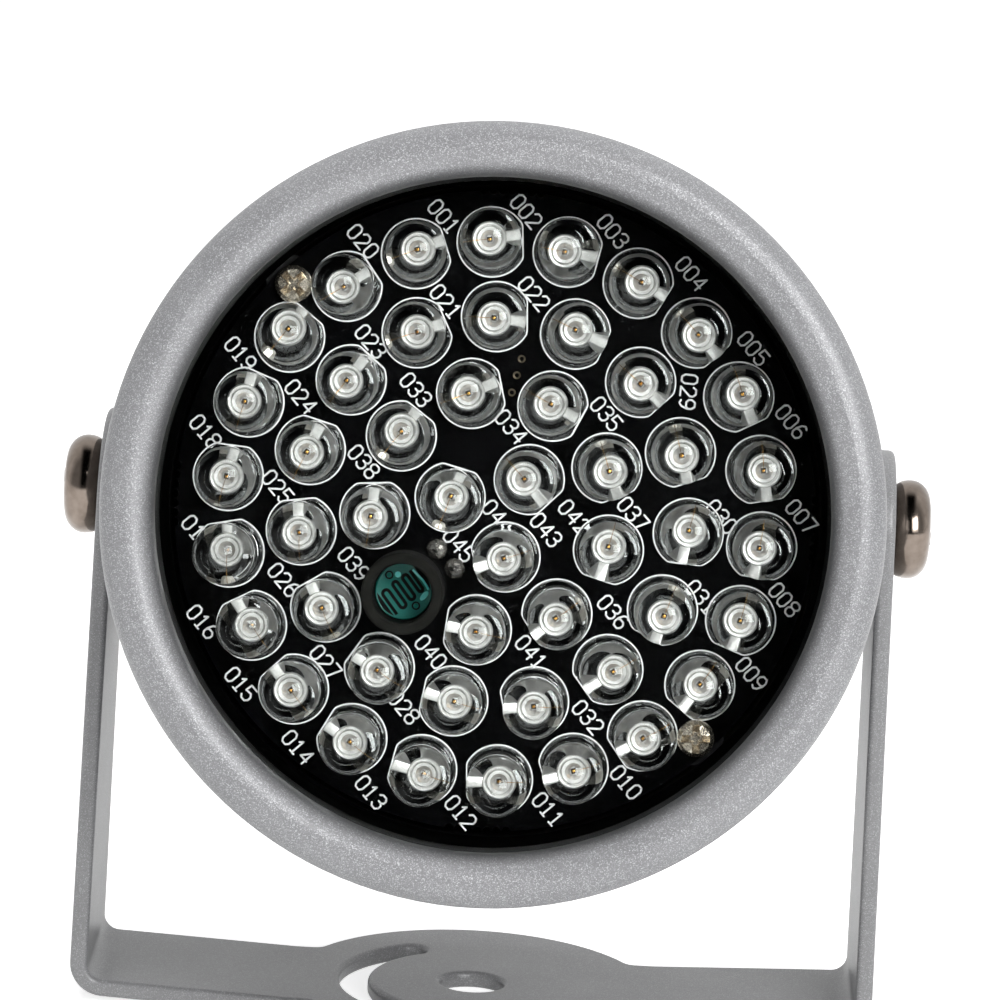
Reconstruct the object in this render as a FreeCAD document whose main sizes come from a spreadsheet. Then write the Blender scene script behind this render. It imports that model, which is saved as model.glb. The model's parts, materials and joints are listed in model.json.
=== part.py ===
# Round infrared illuminator in a U bracket, as a parametric document in millimetres.
# Row frame: underside of the base disc on z = 0, disc centre at the origin, lamp facing -Y.
# Head frame: origin where the tilt axis crosses the lamp axis, z forward out of the glass.
import FreeCAD, Part
import math
import os
import Sketcher
from FreeCAD import Placement, Rotation, Vector

SIZES = {
    # bracket, bent from one painted strip
    "SheetThickness": 1.5,
    "StripWidth": 16.0,
    "ArmTopWidth": 13.4,
    "ArmLean": 1.0,
    "StripRise": 2.3,
    "BendInside": 1.4,
    "DiscRadius": 16.0,
    "CentreHoleRadius": 2.75,
    "SlotMidRadius": 10.4,
    "SlotHalfWidth": 1.25,
    "SlotSweep": 115.0,
    "DiscCornerRound": 1.0,
    "EdgeRound": 0.5,
    "HeadClearance": 1.16,
    # side screws, which the head swings on
    "ScrewRadius": 2.0,
    "ScrewRunningGap": 0.06,
    "ScrewThreadGap": 0.02,
    "ScrewLength": 8.4,
    "ScrewHeadRadius": 4.25,
    "ScrewHeadHeight": 3.2,
    "ScrewHeadRound": 1.5,
    "ScrewSeatRound": 0.7,
    "ScrewHeadGap": 0.1,
    "CrossWidth": 1.0,
    "CrossSpan": 4.2,
    "CrossDepth": 1.7,
    "CrossTurn": 18.0,
    # board and dome lamps, in four rings round the lamp axis
    "HeadTilt": 10.2,
    "BoardFront": 13.5,
    "BoardThickness": 1.6,
    "BoardMargin": 1.4,
    "LedRadius": 2.5,
    "LedFlangeRadius": 2.9,
    "LedFlangeHeight": 1.0,
    "LedHeight": 8.7,
    "OuterGap": 0.576,
    "OuterStart": 93.75,
    "SecondGap": 0.936,
    "SecondStart": 92.7,
    "ThirdGap": 1.04,
    "ThirdStart": 104.3,
    "InnerGap": 0.955,
    "InnerStart": 165.8,
    "LeadHalfPitch": 1.27,
    "JointWidth": 1.3,
    "JointHeight": 0.9,
    "JointTaper": -20.0,
    # front glass and bezel
    "LedTipGap": 0.8,
    "GlassThickness": 2.0,
    "GlassGap": 0.4,
    "GlassOverlap": 1.7,
    "GasketThickness": 0.5,
    "GasketInset": 0.2,
    "LipEdge": 0.3,
    "BezelWall": 2.4,
    "BezelDepth": 15.6,
    "BezelFlat": 0.1,
    "BezelRearRound": 0.8,
    # housing, one casting closed at the back
    "BoardGap": 0.5,
    "NeckWall": 2.2,
    "NeckGap": 0.1,
    "NeckSealThickness": 0.6,
    "ShoulderWidth": 0.9,
    "HousingRear": 20.0,
    "RearWall": 3.0,
    "RearRound": 7.0,
    "PadRadius": 6.0,
    "PadHeight": 2.05,
    "PadGap": 0.1,
    "SideBossRadius": 4.6,
    "SideBossBeyond": 1.45,
    "ColumnRadius": 2.4,
    "PilotBeyond": 1.1,
    "CordHoleRadius": 4.0,
    "GrommetWall": 1.3,
    "GrommetFlangeWidth": 1.7,
    "GrommetFlangeHeight": 1.6,
    "GrommetGap": 0.05,
    # small screws that hold the board
    "BoardScrewRadius": 0.85,
    "BoardScrewHeadRadius": 1.45,
    "BoardScrewHeadHeight": 1.15,
    "BoardScrewRound": 0.55,
    "BoardScrewLength": 6.5,
    "BoardCrossWidth": 0.42,
    "BoardCrossSpan": 1.7,
    "BoardCrossDepth": 0.7,
    "BoardHoleGap": 0.2,
    # day and night sensor
    "CellRadius": 2.4,
    "CellThickness": 1.8,
    "SleeveGap": 0.05,
    "SleeveWall": 0.92,
    "SleeveHeight": 7.0,
    "FrontJointRadius": 0.8,
    "FrontJointHeight": 0.75,
    "FrontJointGap": 0.05,
    "FrontJointHalfPitch": 0.875,
    # parts on the back of the board
    "ResistorLength": 3.2,
    "ResistorWidth": 1.6,
    "ResistorHeight": 0.6,
    "SwitchLength": 6.5,
    "SwitchWidth": 3.5,
    "SwitchHeight": 1.7,
    "ChipLength": 4.9,
    "ChipWidth": 3.9,
    "ChipHeight": 1.5,
    "CapacitorRadius": 2.0,
    "CapacitorHeight": 7.0,
    "TerminalLength": 5.0,
    "TerminalWidth": 3.2,
    "TerminalHeight": 5.5,
    "MouldTaper": 4.0,
    # snapped tabs on the board's rim
    "TabHoleRadius": 0.35,
    "TabHoleStep": 1.7,
}
COUNTS = {"OuterCount": 22, "SecondCount": 15, "ThirdPlaces": 9, "CellPlace": 6, "InnerCount": 3,
          "ResistorCount": 12, "TabCount": 4, "TabHoles": 7}


class Size:
    """A number together with the spreadsheet formula that gives it."""

    def __init__(self, number, formula):
        self.number = float(number)
        self.formula = formula

    def combined(self, other, sign, number):
        return Size(number, "(" + self.formula + " " + sign + " " + as_size(other).formula + ")")

    def __add__(self, other):
        return self.combined(other, "+", self.number + as_size(other).number)

    def __sub__(self, other):
        return self.combined(other, "-", self.number - as_size(other).number)

    def __mul__(self, other):
        return self.combined(other, "*", self.number * as_size(other).number)

    def __truediv__(self, other):
        return self.combined(other, "/", self.number / as_size(other).number)

    def __radd__(self, other):
        return as_size(other) + self

    def __rsub__(self, other):
        return as_size(other) - self

    def __rmul__(self, other):
        return as_size(other) * self

    def __rtruediv__(self, other):
        return as_size(other) / self

    def __neg__(self):
        return Size(-self.number, "(0 - " + self.formula + ")")


def as_size(value):
    return value if isinstance(value, Size) else Size(value, repr(float(value)))


def cosine(angle):
    return Size(math.cos(math.radians(angle.number)), "cos(" + angle.formula + ")")


def sine(angle):
    return Size(math.sin(math.radians(angle.number)), "sin(" + angle.formula + ")")


def tangent(angle):
    return Size(math.tan(math.radians(angle.number)), "tan(" + angle.formula + ")")


def square_root(value):
    return Size(math.sqrt(value.number), "sqrt(" + value.formula + ")")


def polar(radius, angle):
    return radius * cosine(angle), radius * sine(angle)


doc = FreeCAD.newDocument("illuminator")
sheet = doc.addObject("Spreadsheet::Sheet", "Sizes")
for row, (name, value) in enumerate(list(SIZES.items()) + list(COUNTS.items()), start=1):
    sheet.set("A%d" % row, name)
    sheet.set("B%d" % row, repr(value))
    sheet.setAlias("B%d" % row, name)
doc.recompute()


def size(name):
    value = SIZES[name] if name in SIZES else COUNTS[name]
    return Size(value, "Sizes." + name)


def bind(thing, path, value):
    thing.setExpression(path, as_size(value).formula)


def make_body(label, in_head=True, many=False):
    """A piece; those of the head are turned and lifted with the lamp."""
    body = doc.addObject("PartDesign::Body", label)
    body.Label = label
    body.AllowCompound = many
    if in_head:
        body.Placement = Placement(Vector(0, 0, 1), Rotation(Vector(1, 0, 0), 45))
        bind(body, "Placement.Base.z", pivot)
        bind(body, "Placement.Rotation.Angle", 90.0 - size("HeadTilt"))
    return body


def make_sketch(body, role, name, offset=0.0):
    sketch = body.newObject("Sketcher::SketchObject", name)
    plane = [item for item in body.Origin.OriginFeatures if item.Role == role][0]
    sketch.AttachmentSupport = [(plane, "")]
    sketch.MapMode = "FlatFace"
    offset = as_size(offset)
    sketch.AttachmentOffset = Placement(Vector(0, 0, offset.number), Rotation())
    bind(sketch, "AttachmentOffset.Base.z", offset)
    return sketch


def fix_point(sketch, geometry, point, x, y):
    for kind, value in (("DistanceX", as_size(x)), ("DistanceY", as_size(y))):
        index = sketch.addConstraint(Sketcher.Constraint(kind, -1, 1, geometry, point, value.number))
        bind(sketch, "Constraints[%d]" % index, value)


def add_polygon(sketch, points):
    """Closed outline of straight sides, every corner placed from the sketch origin."""
    spots = [Vector(as_size(x).number, as_size(y).number, 0) for x, y in points]
    first = sketch.GeometryCount
    count = len(points)
    for i in range(count):
        sketch.addGeometry(Part.LineSegment(spots[i], spots[(i + 1) % count]), False)
    for i in range(count):
        following = first + (i + 1) % count
        sketch.addConstraint(Sketcher.Constraint("Coincident", first + i, 2, following, 1))
        fix_point(sketch, first + i, 1, *points[i])


def add_circle(sketch, x, y, radius):
    radius = as_size(radius)
    centre = Vector(as_size(x).number, as_size(y).number, 0)
    geometry = sketch.addGeometry(Part.Circle(centre, Vector(0, 0, 1), radius.number), False)
    fix_point(sketch, geometry, 3, x, y)
    index = sketch.addConstraint(Sketcher.Constraint("Radius", geometry, radius.number))
    bind(sketch, "Constraints[%d]" % index, radius)


def add_rectangle(sketch, x, y, length, width, angle=None):
    """Rectangle about its own centre, its length turned by an angle."""
    angle = as_size(0.0) if angle is None else angle
    corners = []
    for along, across in ((-0.5, -0.5), (0.5, -0.5), (0.5, 0.5), (-0.5, 0.5)):
        corner_x = x + length * along * cosine(angle) - width * across * sine(angle)
        corner_y = y + length * along * sine(angle) + width * across * cosine(angle)
        corners.append((corner_x, corner_y))
    add_polygon(sketch, corners)


def feature(body, kind, name, sketch=None, **settings):
    made = body.newObject("PartDesign::" + kind, name)
    if sketch is not None:
        made.Profile = sketch
    for key, value in settings.items():
        if isinstance(value, Size):
            setattr(made, key, value.number)
            bind(made, key, value)
        else:
            setattr(made, key, value)
    body.Tip = made
    return made


def pad(body, name, sketch, length, **settings):
    return feature(body, "Pad", name, sketch, Length=as_size(length), **settings)


def pocket(body, name, sketch, length, **settings):
    return feature(body, "Pocket", name, sketch, Length=as_size(length), **settings)


def turned(body, name, profile, role="XZ_Plane"):
    """Solid turned about the upright axis of its profile sketch."""
    sketch = make_sketch(body, role, name + "Profile")
    add_polygon(sketch, profile)
    return feature(body, "Revolution", name, sketch, ReferenceAxis=(sketch, ["V_Axis"]), Angle=360.0)


def ring_pattern(body, name, originals, sketch, count, span=360.0, clockwise=False):
    made = body.newObject("PartDesign::PolarPattern", name)
    made.Originals = originals
    made.Axis = (sketch, ["N_Axis"])
    made.Reversed = clockwise
    bind(made, "Angle", span)
    bind(made, "Occurrences", count)
    body.Tip = made


def fillet(body, name, base, radius, test):
    """Rounds those edges of a feature that pass a test on their curve and box."""
    doc.recompute()
    chosen = ["Edge%d" % (i + 1) for i, edge in enumerate(base.Shape.Edges) if test(edge)]
    if not chosen:
        raise ValueError("no edge for " + name)
    return feature(body, "Fillet", name, Base=(base, chosen), Radius=as_size(radius))


def is_hoop(edge, radius, height, axis="z"):
    """True for a full circle about an axis, of a radius, at a height along that axis."""
    curve = edge.Curve
    if not isinstance(curve, Part.Circle):
        return False
    near = abs(curve.Radius - radius.number) < 1e-4
    return near and abs(getattr(curve.Center, axis) - height.number) < 1e-4


# rings of lamps, round the lamp axis

lamp_width = size("LedFlangeRadius") * 2.0


def ring_radius(gap_name, places_name):
    """Radius at which neighbouring lamps of a ring stand a gap apart."""
    return (lamp_width + size(gap_name)) * 0.5 / sine(180.0 / size(places_name))


outer_ring = ring_radius("OuterGap", "OuterCount")
second_ring = ring_radius("SecondGap", "SecondCount")
third_ring = ring_radius("ThirdGap", "ThirdPlaces")
inner_ring = ring_radius("InnerGap", "InnerCount")
cell_angle = size("ThirdStart") - 360.0 / size("ThirdPlaces") * size("CellPlace")
column_angle = size("OuterStart") + 360.0 / size("OuterCount") * 2.5

# radii of the head, from the board outwards

board_radius = outer_ring + size("LedFlangeRadius") + size("BoardMargin")
column_circle = board_radius - size("BoardScrewHeadRadius")
cavity = board_radius + size("BoardGap")
neck_radius = cavity + size("NeckWall")
bezel_bore = neck_radius + size("NeckGap")
bezel_radius = bezel_bore + size("BezelWall")
glass_radius = bezel_bore - size("GlassGap")
opening = glass_radius - size("GlassOverlap")
gasket_bore = opening + size("GasketInset")
barrel = neck_radius + size("ShoulderWidth")
side_wall = (cavity + barrel) * 0.5
pad_face = barrel + size("PadHeight")
front_round = (bezel_radius - opening - size("BezelFlat")) * 0.5

# levels of the head, forward from the tilt axis

board_front = size("BoardFront")
board_rear = board_front - size("BoardThickness")
led_tip = board_front + size("LedHeight")
glass_rear = led_tip + size("LedTipGap")
glass_front = glass_rear + size("GlassThickness")
lip_rear = glass_front + size("GasketThickness")
bezel_front = lip_rear + size("LipEdge") + front_round
bezel_rear = bezel_front - size("BezelDepth")
neck_front = glass_rear - size("NeckSealThickness")
shoulder = bezel_rear - size("NeckSealThickness")
housing_rear = -size("HousingRear")
cavity_floor = housing_rear + size("RearWall")

# bracket, which clears the head as it swings right round

thickness = size("SheetThickness")
round_out = bezel_radius - front_round
round_forward = bezel_front - front_round
head_reach = square_root(round_out * round_out + round_forward * round_forward) + front_round
pivot = thickness + size("HeadClearance") + head_reach
arm_inside = pad_face + size("PadGap")
arm_outside = arm_inside + thickness
screw_seat = arm_outside + size("ScrewHeadGap")
screw_tip = screw_seat - size("ScrewLength")
lean = tangent(size("ArmLean"))
rise = tangent(size("StripRise"))
half_strip = size("StripWidth") * 0.5
half_top = size("ArmTopWidth") * 0.5
arm_top = pivot + half_top
disc_radius = size("DiscRadius")


def arm_line(face, height):
    """Distance of a sloping arm face from the middle, at a height."""
    return face + (pivot - height) * lean


def strip_corner(face, level):
    """Where an arm face meets a rising face of the strip."""
    run = face + (pivot - level + disc_radius * rise) * lean
    x = run / (1.0 + rise * lean)
    return x, level + (x - disc_radius) * rise


def make_bracket():
    body = make_body("bracket", in_head=False)
    profile = make_sketch(body, "XZ_Plane", "StripSection")
    under_x, under_z = strip_corner(arm_outside, as_size(0.0))
    upper_x, upper_z = strip_corner(arm_inside, thickness)
    inside_top = arm_line(arm_inside, arm_top)
    outside_top = arm_line(arm_outside, arm_top)
    half = [(disc_radius, as_size(0.0)), (under_x, under_z), (outside_top, arm_top),
            (inside_top, arm_top), (upper_x, upper_z), (disc_radius, thickness)]
    add_polygon(profile, half + [(-x, z) for x, z in reversed(half)])
    strip = pad(body, "Strip", profile, size("StripWidth"), SideType="Symmetric")

    plan = make_sketch(body, "XY_Plane", "DiscPlan")
    add_circle(plan, 0.0, 0.0, disc_radius)
    disc = pad(body, "Disc", plan, thickness)

    def bend(edge, x, z):
        low, high = edge.BoundBox.XMin, edge.BoundBox.XMax
        flat = abs(abs(low) - x.number) < 1e-4 and abs(high - low) < 1e-4
        return flat and abs(edge.BoundBox.ZMin - z.number) < 1e-4 and edge.BoundBox.ZLength < 1e-4

    inside = fillet(body, "BendsInside", disc, size("BendInside"),
                    lambda edge: bend(edge, upper_x, upper_z))
    outside = fillet(body, "BendsOutside", inside, size("BendInside") + thickness,
                     lambda edge: bend(edge, under_x, under_z))

    taper_foot = thickness + size("BendInside") * 2.0
    side = make_sketch(body, "YZ_Plane", "ArmOutline")
    reach = size("StripWidth")
    roof = arm_top + thickness
    corners = [(-half_top, pivot), (-half_strip, taper_foot), (-reach, taper_foot), (-reach, roof),
               (reach, roof), (reach, taper_foot), (half_strip, taper_foot), (half_top, pivot)]
    spots = [Vector(x.number, z.number, 0) for x, z in corners]
    for i in range(len(spots) - 1):
        side.addGeometry(Part.LineSegment(spots[i], spots[i + 1]), False)
    for i in range(len(spots) - 2):
        side.addConstraint(Sketcher.Constraint("Coincident", i, 2, i + 1, 1))
    for i in range(len(spots) - 1):
        fix_point(side, i, 1, *corners[i])
    last = len(spots) - 2
    fix_point(side, last, 2, *corners[-1])
    top = Part.Circle(Vector(0, pivot.number, 0), Vector(0, 0, 1), half_top.number)
    arc = side.addGeometry(Part.ArcOfCircle(top, 0.0, math.pi), False)
    side.addConstraint(Sketcher.Constraint("Coincident", arc, 1, last, 2))
    side.addConstraint(Sketcher.Constraint("Coincident", arc, 2, 0, 1))
    index = side.addConstraint(Sketcher.Constraint("DistanceY", -1, 1, arc, 3, pivot.number))
    bind(side, "Constraints[%d]" % index, pivot)
    pocket(body, "ArmOutlineCut", side, arm_outside * 3.0, SideType="Symmetric")

    pivots = make_sketch(body, "YZ_Plane", "PivotHoles")
    add_circle(pivots, 0.0, pivot, size("ScrewRadius") + size("ScrewRunningGap"))
    pocket(body, "PivotHolesCut", pivots, arm_outside * 3.0, SideType="Symmetric")

    hole = make_sketch(body, "XY_Plane", "CentreHole")
    add_circle(hole, 0.0, 0.0, size("CentreHoleRadius"))
    pocket(body, "CentreHoleCut", hole, thickness * 4.0, SideType="Symmetric")

    section = make_sketch(body, "XZ_Plane", "SlotSection")
    mid, half_slot = size("SlotMidRadius"), size("SlotHalfWidth")
    add_rectangle(section, -mid, thickness * 0.5, half_slot * 2.0, thickness * 3.0)
    feature(body, "Groove", "SlotCut", section, ReferenceAxis=(section, ["V_Axis"]),
            Angle=size("SlotSweep"), Midplane=True)
    ends = make_sketch(body, "XY_Plane", "SlotEnds")
    end_x, end_y = polar(mid, size("SlotSweep") * 0.5)
    add_circle(ends, -end_x, end_y, half_slot)
    add_circle(ends, -end_x, -end_y, half_slot)
    slot = pocket(body, "SlotEndsCut", ends, thickness * 4.0, SideType="Symmetric")

    def joins_disc(edge):
        box = edge.BoundBox
        upright = box.XLength < 1e-4 and box.YLength < 1e-4 and box.ZLength > thickness.number * 0.9
        at_side = abs(abs(box.YMin) - half_strip.number) < 1e-4
        return upright and at_side and abs(box.XMin) < disc_radius.number

    corners_done = fillet(body, "DiscCorners", slot, size("DiscCornerRound"), joins_disc)

    def sheet_edge(edge):
        """True where a face of the sheet meets its cut side, away from the pivot holes."""
        box = edge.BoundBox
        level = box.ZLength < 1e-4 and min(abs(box.ZMin), abs(box.ZMin - thickness.number)) < 1e-4
        along_side = box.YLength < 1e-4 and abs(abs(box.YMin) - half_strip.number) < 1e-4
        if along_side:
            across = isinstance(edge.Curve, Part.Line) and abs(edge.Length - thickness.number) < 0.01
            return not across
        if level:
            return isinstance(edge.Curve, Part.Circle)
        tapered = box.ZLength > pivot.number * 0.5 and box.YLength > 0.5
        crown = box.ZMin > pivot.number - 1e-4 and box.YLength > half_top.number * 0.9 and box.ZLength > 1.0
        return tapered or crown

    fillet(body, "SheetEdges", corners_done, size("EdgeRound"), sheet_edge)


def make_bezel():
    body = make_body("bezel")
    ring = turned(body, "Ring", [
        (bezel_bore, bezel_rear), (bezel_radius, bezel_rear), (bezel_radius, bezel_front),
        (opening, bezel_front), (opening, lip_rear), (bezel_bore, lip_rear)])

    def front_rim(edge):
        return is_hoop(edge, bezel_radius, bezel_front) or is_hoop(edge, opening, bezel_front)

    front = fillet(body, "FrontRound", ring, front_round, front_rim)
    fillet(body, "RearRound", front, size("BezelRearRound"),
           lambda edge: is_hoop(edge, bezel_radius, bezel_rear))


def make_glass():
    body = make_body("front_glass")
    chamfer = size("GlassThickness") * 0.15
    turned(body, "Disc", [
        (0.0, glass_rear), (glass_radius - chamfer, glass_rear), (glass_radius, glass_rear + chamfer),
        (glass_radius, glass_front - chamfer), (glass_radius - chamfer, glass_front), (0.0, glass_front)])


def make_flat_ring(label, inner, outer, low, high):
    body = make_body(label)
    turned(body, "Ring", [(inner, low), (outer, low), (outer, high), (inner, high)])


def make_housing():
    body = make_body("housing")
    cup = turned(body, "Cup", [
        (0.0, housing_rear), (barrel, housing_rear), (barrel, shoulder), (neck_radius, shoulder),
        (neck_radius, neck_front), (cavity, neck_front), (cavity, cavity_floor), (0.0, cavity_floor)])
    back = fillet(body, "RearRound", cup, size("RearRound"),
                  lambda edge: is_hoop(edge, barrel, housing_rear))
    fillet(body, "CavityRound", back, size("RearRound") - size("RearWall"),
           lambda edge: is_hoop(edge, cavity, cavity_floor))

    boss_end = screw_tip - size("SideBossBeyond")
    boss = make_sketch(body, "YZ_Plane", "SideBoss", boss_end)
    add_circle(boss, 0.0, 0.0, size("SideBossRadius"))
    inside_boss = pad(body, "SideBossPad", boss, side_wall - boss_end)
    seat = make_sketch(body, "YZ_Plane", "SidePad", side_wall)
    add_circle(seat, 0.0, 0.0, size("PadRadius"))
    outside_pad = pad(body, "SidePadPad", seat, pad_face - side_wall)
    mirror = feature(body, "Mirrored", "OtherSide")
    mirror.Originals = [inside_boss, outside_pad]
    plane = [item for item in body.Origin.OriginFeatures if item.Role == "YZ_Plane"][0]
    mirror.MirrorPlane = (plane, [""])

    column_x, column_y = polar(column_circle, column_angle)
    floor_middle = cavity_floor - size("RearWall") * 0.5
    columns = make_sketch(body, "XY_Plane", "BoardColumns", floor_middle)
    pilots = make_sketch(body, "XY_Plane", "BoardPilots", board_rear)
    for sign in (1.0, -1.0):
        add_circle(columns, column_x * sign, column_y * sign, size("ColumnRadius"))
        add_circle(pilots, column_x * sign, column_y * sign,
                   size("BoardScrewRadius") + size("ScrewThreadGap"))
    pad(body, "BoardColumnsPad", columns, board_rear - floor_middle)
    pilot_depth = size("BoardScrewLength") - size("BoardThickness") + size("PilotBeyond")
    pocket(body, "BoardPilotsCut", pilots, pilot_depth)

    threads = make_sketch(body, "YZ_Plane", "SideThreads")
    add_circle(threads, 0.0, 0.0, size("ScrewRadius") + size("ScrewThreadGap"))
    pocket(body, "SideThreadsCut", threads, pad_face * 3.0, SideType="Symmetric")
    cord = make_sketch(body, "XY_Plane", "CordHole", housing_rear)
    add_circle(cord, 0.0, 0.0, size("CordHoleRadius"))
    pocket(body, "CordHoleCut", cord, size("RearWall") * 4.0, SideType="Symmetric")


def make_board():
    body = make_body("led_board")
    plan = make_sketch(body, "XY_Plane", "BoardPlan", board_rear)
    add_circle(plan, 0.0, 0.0, board_radius)
    column_x, column_y = polar(column_circle, column_angle)
    for sign in (1.0, -1.0):
        add_circle(plan, column_x * sign, column_y * sign,
                   size("BoardScrewRadius") + size("BoardHoleGap"))
    pad(body, "Board", plan, size("BoardThickness"))
    tabs = make_sketch(body, "XY_Plane", "SnappedTab", board_rear)
    middle = (COUNTS["TabHoles"] - 1) * 0.5
    for i in range(COUNTS["TabHoles"]):
        x, y = polar(board_radius, size("TabHoleStep") * (i - middle))
        add_circle(tabs, x, y, size("TabHoleRadius"))
    holes = pocket(body, "SnappedTabCut", tabs, size("BoardThickness") * 3.0, SideType="Symmetric")
    ring_pattern(body, "SnappedTabs", [holes], tabs, size("TabCount"))


LED_RINGS = (
    ("infrared_leds_outer_ring", outer_ring, "OuterStart", "OuterCount"),
    ("infrared_leds_second_ring", second_ring, "SecondStart", "SecondCount"),
    ("infrared_leds_third_ring", third_ring, "ThirdStart", "ThirdPlaces"),
    ("infrared_leds_inner_ring", inner_ring, "InnerStart", "InnerCount"),
)


def ring_run(start_name, places_name):
    """First lamp's angle, number of lamps and the angle they span, clockwise."""
    places = size(places_name)
    if places_name != "ThirdPlaces":
        return size(start_name), places, as_size(360.0)
    step = 360.0 / places
    return cell_angle - step, places - 1.0, step * (places - 2.0)


def repeat_whole(body, sketch, count, span):
    """Repeats the finished piece clockwise round the lamp axis, as seen from the front."""
    made = body.newObject("PartDesign::PolarPattern", "Repeated")
    made.TransformMode = "Whole shape"
    made.Axis = (sketch, ["N_Axis"])
    made.Reversed = True
    bind(made, "Angle", span)
    bind(made, "Occurrences", count)
    body.Tip = made


def make_led_ring(label, ring, start_name, places_name):
    """Dome lamps of one ring; each flange has its flat on the clockwise side."""
    body = make_body(label, many=True)
    first, count, span = ring_run(start_name, places_name)
    x, y = polar(ring, first)
    lens, flange_radius = size("LedRadius"), size("LedFlangeRadius")
    flange = make_sketch(body, "XY_Plane", "Flange", board_front)
    add_circle(flange, x, y, flange_radius)
    pad(body, "FlangePad", flange, size("LedFlangeHeight"))
    flat = make_sketch(body, "XY_Plane", "FlangeFlat", board_front)
    rim = flange_radius - lens
    add_rectangle(flat, x + (lens + rim) * sine(first), y - (lens + rim) * cosine(first),
                  rim * 2.0, flange_radius * 2.5, first - 90.0)
    pocket(body, "FlangeFlatCut", flat, size("LedFlangeHeight") * 3.0, SideType="Symmetric")
    barrel = make_sketch(body, "XY_Plane", "Barrel", board_front)
    add_circle(barrel, x, y, lens)
    upright = pad(body, "BarrelPad", barrel, size("LedHeight"))
    fillet(body, "Dome", upright, lens * 0.97, lambda edge: is_hoop(edge, lens, led_tip))
    repeat_whole(body, flange, count, span)


def make_solder_joints():
    """Two tapered joints behind each lamp, on a line along the ring."""
    body = make_body("led_solder_joints", many=True)
    pitch = size("LeadHalfPitch")
    width = size("JointWidth")
    for label, ring, start_name, places_name in LED_RINGS:
        first, count, span = ring_run(start_name, places_name)
        x, y = polar(ring, first)
        sketch = make_sketch(body, "XY_Plane", start_name + "Joints", board_rear)
        for sign in (1.0, -1.0):
            add_rectangle(sketch, x + pitch * sine(first) * sign, y - pitch * cosine(first) * sign,
                          width, width, first)
        joints = pad(body, start_name + "JointPad", sketch, size("JointHeight"), Reversed=True,
                     TaperAngle=size("JointTaper"))
        ring_pattern(body, start_name + "JointRing", [joints], sketch, count, span, clockwise=True)


def make_cell():
    body = make_body("photocell")
    x, y = polar(third_ring, cell_angle)
    plan = make_sketch(body, "XY_Plane", "CellPlan", board_front)
    add_circle(plan, x, y, size("CellRadius"))
    disc = pad(body, "Cell", plan, size("CellThickness"))
    top = board_front + size("CellThickness")
    fillet(body, "CellEdge", disc, size("CellThickness") * 0.2,
           lambda edge: is_hoop(edge, size("CellRadius"), top))


sleeve_bore = size("CellRadius") + size("SleeveGap")
sleeve_radius = sleeve_bore + size("SleeveWall")


def make_sleeve():
    body = make_body("photocell_sleeve")
    x, y = polar(third_ring, cell_angle)
    plan = make_sketch(body, "XY_Plane", "SleevePlan", board_front)
    add_circle(plan, x, y, sleeve_bore)
    add_circle(plan, x, y, sleeve_radius)
    tube = pad(body, "Sleeve", plan, size("SleeveHeight"))
    top = board_front + size("SleeveHeight")
    fillet(body, "SleeveLip", tube, size("SleeveWall") * 0.3,
           lambda edge: is_hoop(edge, sleeve_radius, top) or is_hoop(edge, sleeve_bore, top))


def make_front_joints():
    """The sensor's two joints, side by side between its sleeve and the lamp axis."""
    body = make_body("photocell_solder_joints", many=True)
    plan = make_sketch(body, "XY_Plane", "JointPlan", board_front)
    radius = size("FrontJointRadius")
    reach = third_ring - sleeve_radius - radius - size("FrontJointGap")
    for sign in (1.0, -1.0):
        aside = size("FrontJointHalfPitch") * sign
        x = reach * cosine(cell_angle) - aside * sine(cell_angle)
        y = reach * sine(cell_angle) + aside * cosine(cell_angle)
        add_circle(plan, x, y, radius)
    bumps = pad(body, "Bumps", plan, size("FrontJointHeight"))
    top = board_front + size("FrontJointHeight")
    fillet(body, "BumpRound", bumps, size("FrontJointHeight") * 0.9,
           lambda edge: is_hoop(edge, radius, top))


def add_cross(sketch, x, y, span, width, angle):
    """Outline of a cross recess: two bars across each other, turned by an angle."""
    long_half, short_half = span * 0.5, width * 0.5
    corners = []
    for quarter in range(4):
        turn = angle + 90.0 * quarter
        for along, across in ((short_half, -long_half), (short_half, -short_half),
                              (long_half, -short_half)):
            corners.append((x + along * cosine(turn) - across * sine(turn),
                            y + along * sine(turn) + across * cosine(turn)))
    add_polygon(sketch, corners)


def make_pivot_screw(label, side):
    """Pan head screw on the tilt axis; side is 1 for the right and -1 for the left."""
    body = make_body(label)
    crown = screw_seat + size("ScrewHeadHeight")
    shank, head = size("ScrewRadius"), size("ScrewHeadRadius")
    half = [(screw_tip, 0.0), (screw_tip, shank), (screw_seat, shank), (screw_seat, head),
            (crown, head), (crown, 0.0)]
    profile = make_sketch(body, "XZ_Plane", "ScrewProfile")
    add_polygon(profile, [(x * side, z) for x, z in half])
    screw = feature(body, "Revolution", "Screw", profile, ReferenceAxis=(profile, ["H_Axis"]), Angle=360.0)
    crown_round = fillet(body, "HeadRound", screw, size("ScrewHeadRound"),
                         lambda edge: is_hoop(edge, head, crown * side, "x"))
    fillet(body, "SeatRound", crown_round, size("ScrewSeatRound"),
           lambda edge: is_hoop(edge, head, screw_seat * side, "x"))
    cross = make_sketch(body, "YZ_Plane", "Cross", crown * side)
    add_cross(cross, as_size(0.0), as_size(0.0), size("CrossSpan"), size("CrossWidth"),
              size("CrossTurn"))
    pocket(body, "CrossCut", cross, size("CrossDepth"), Reversed=side < 0)


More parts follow.
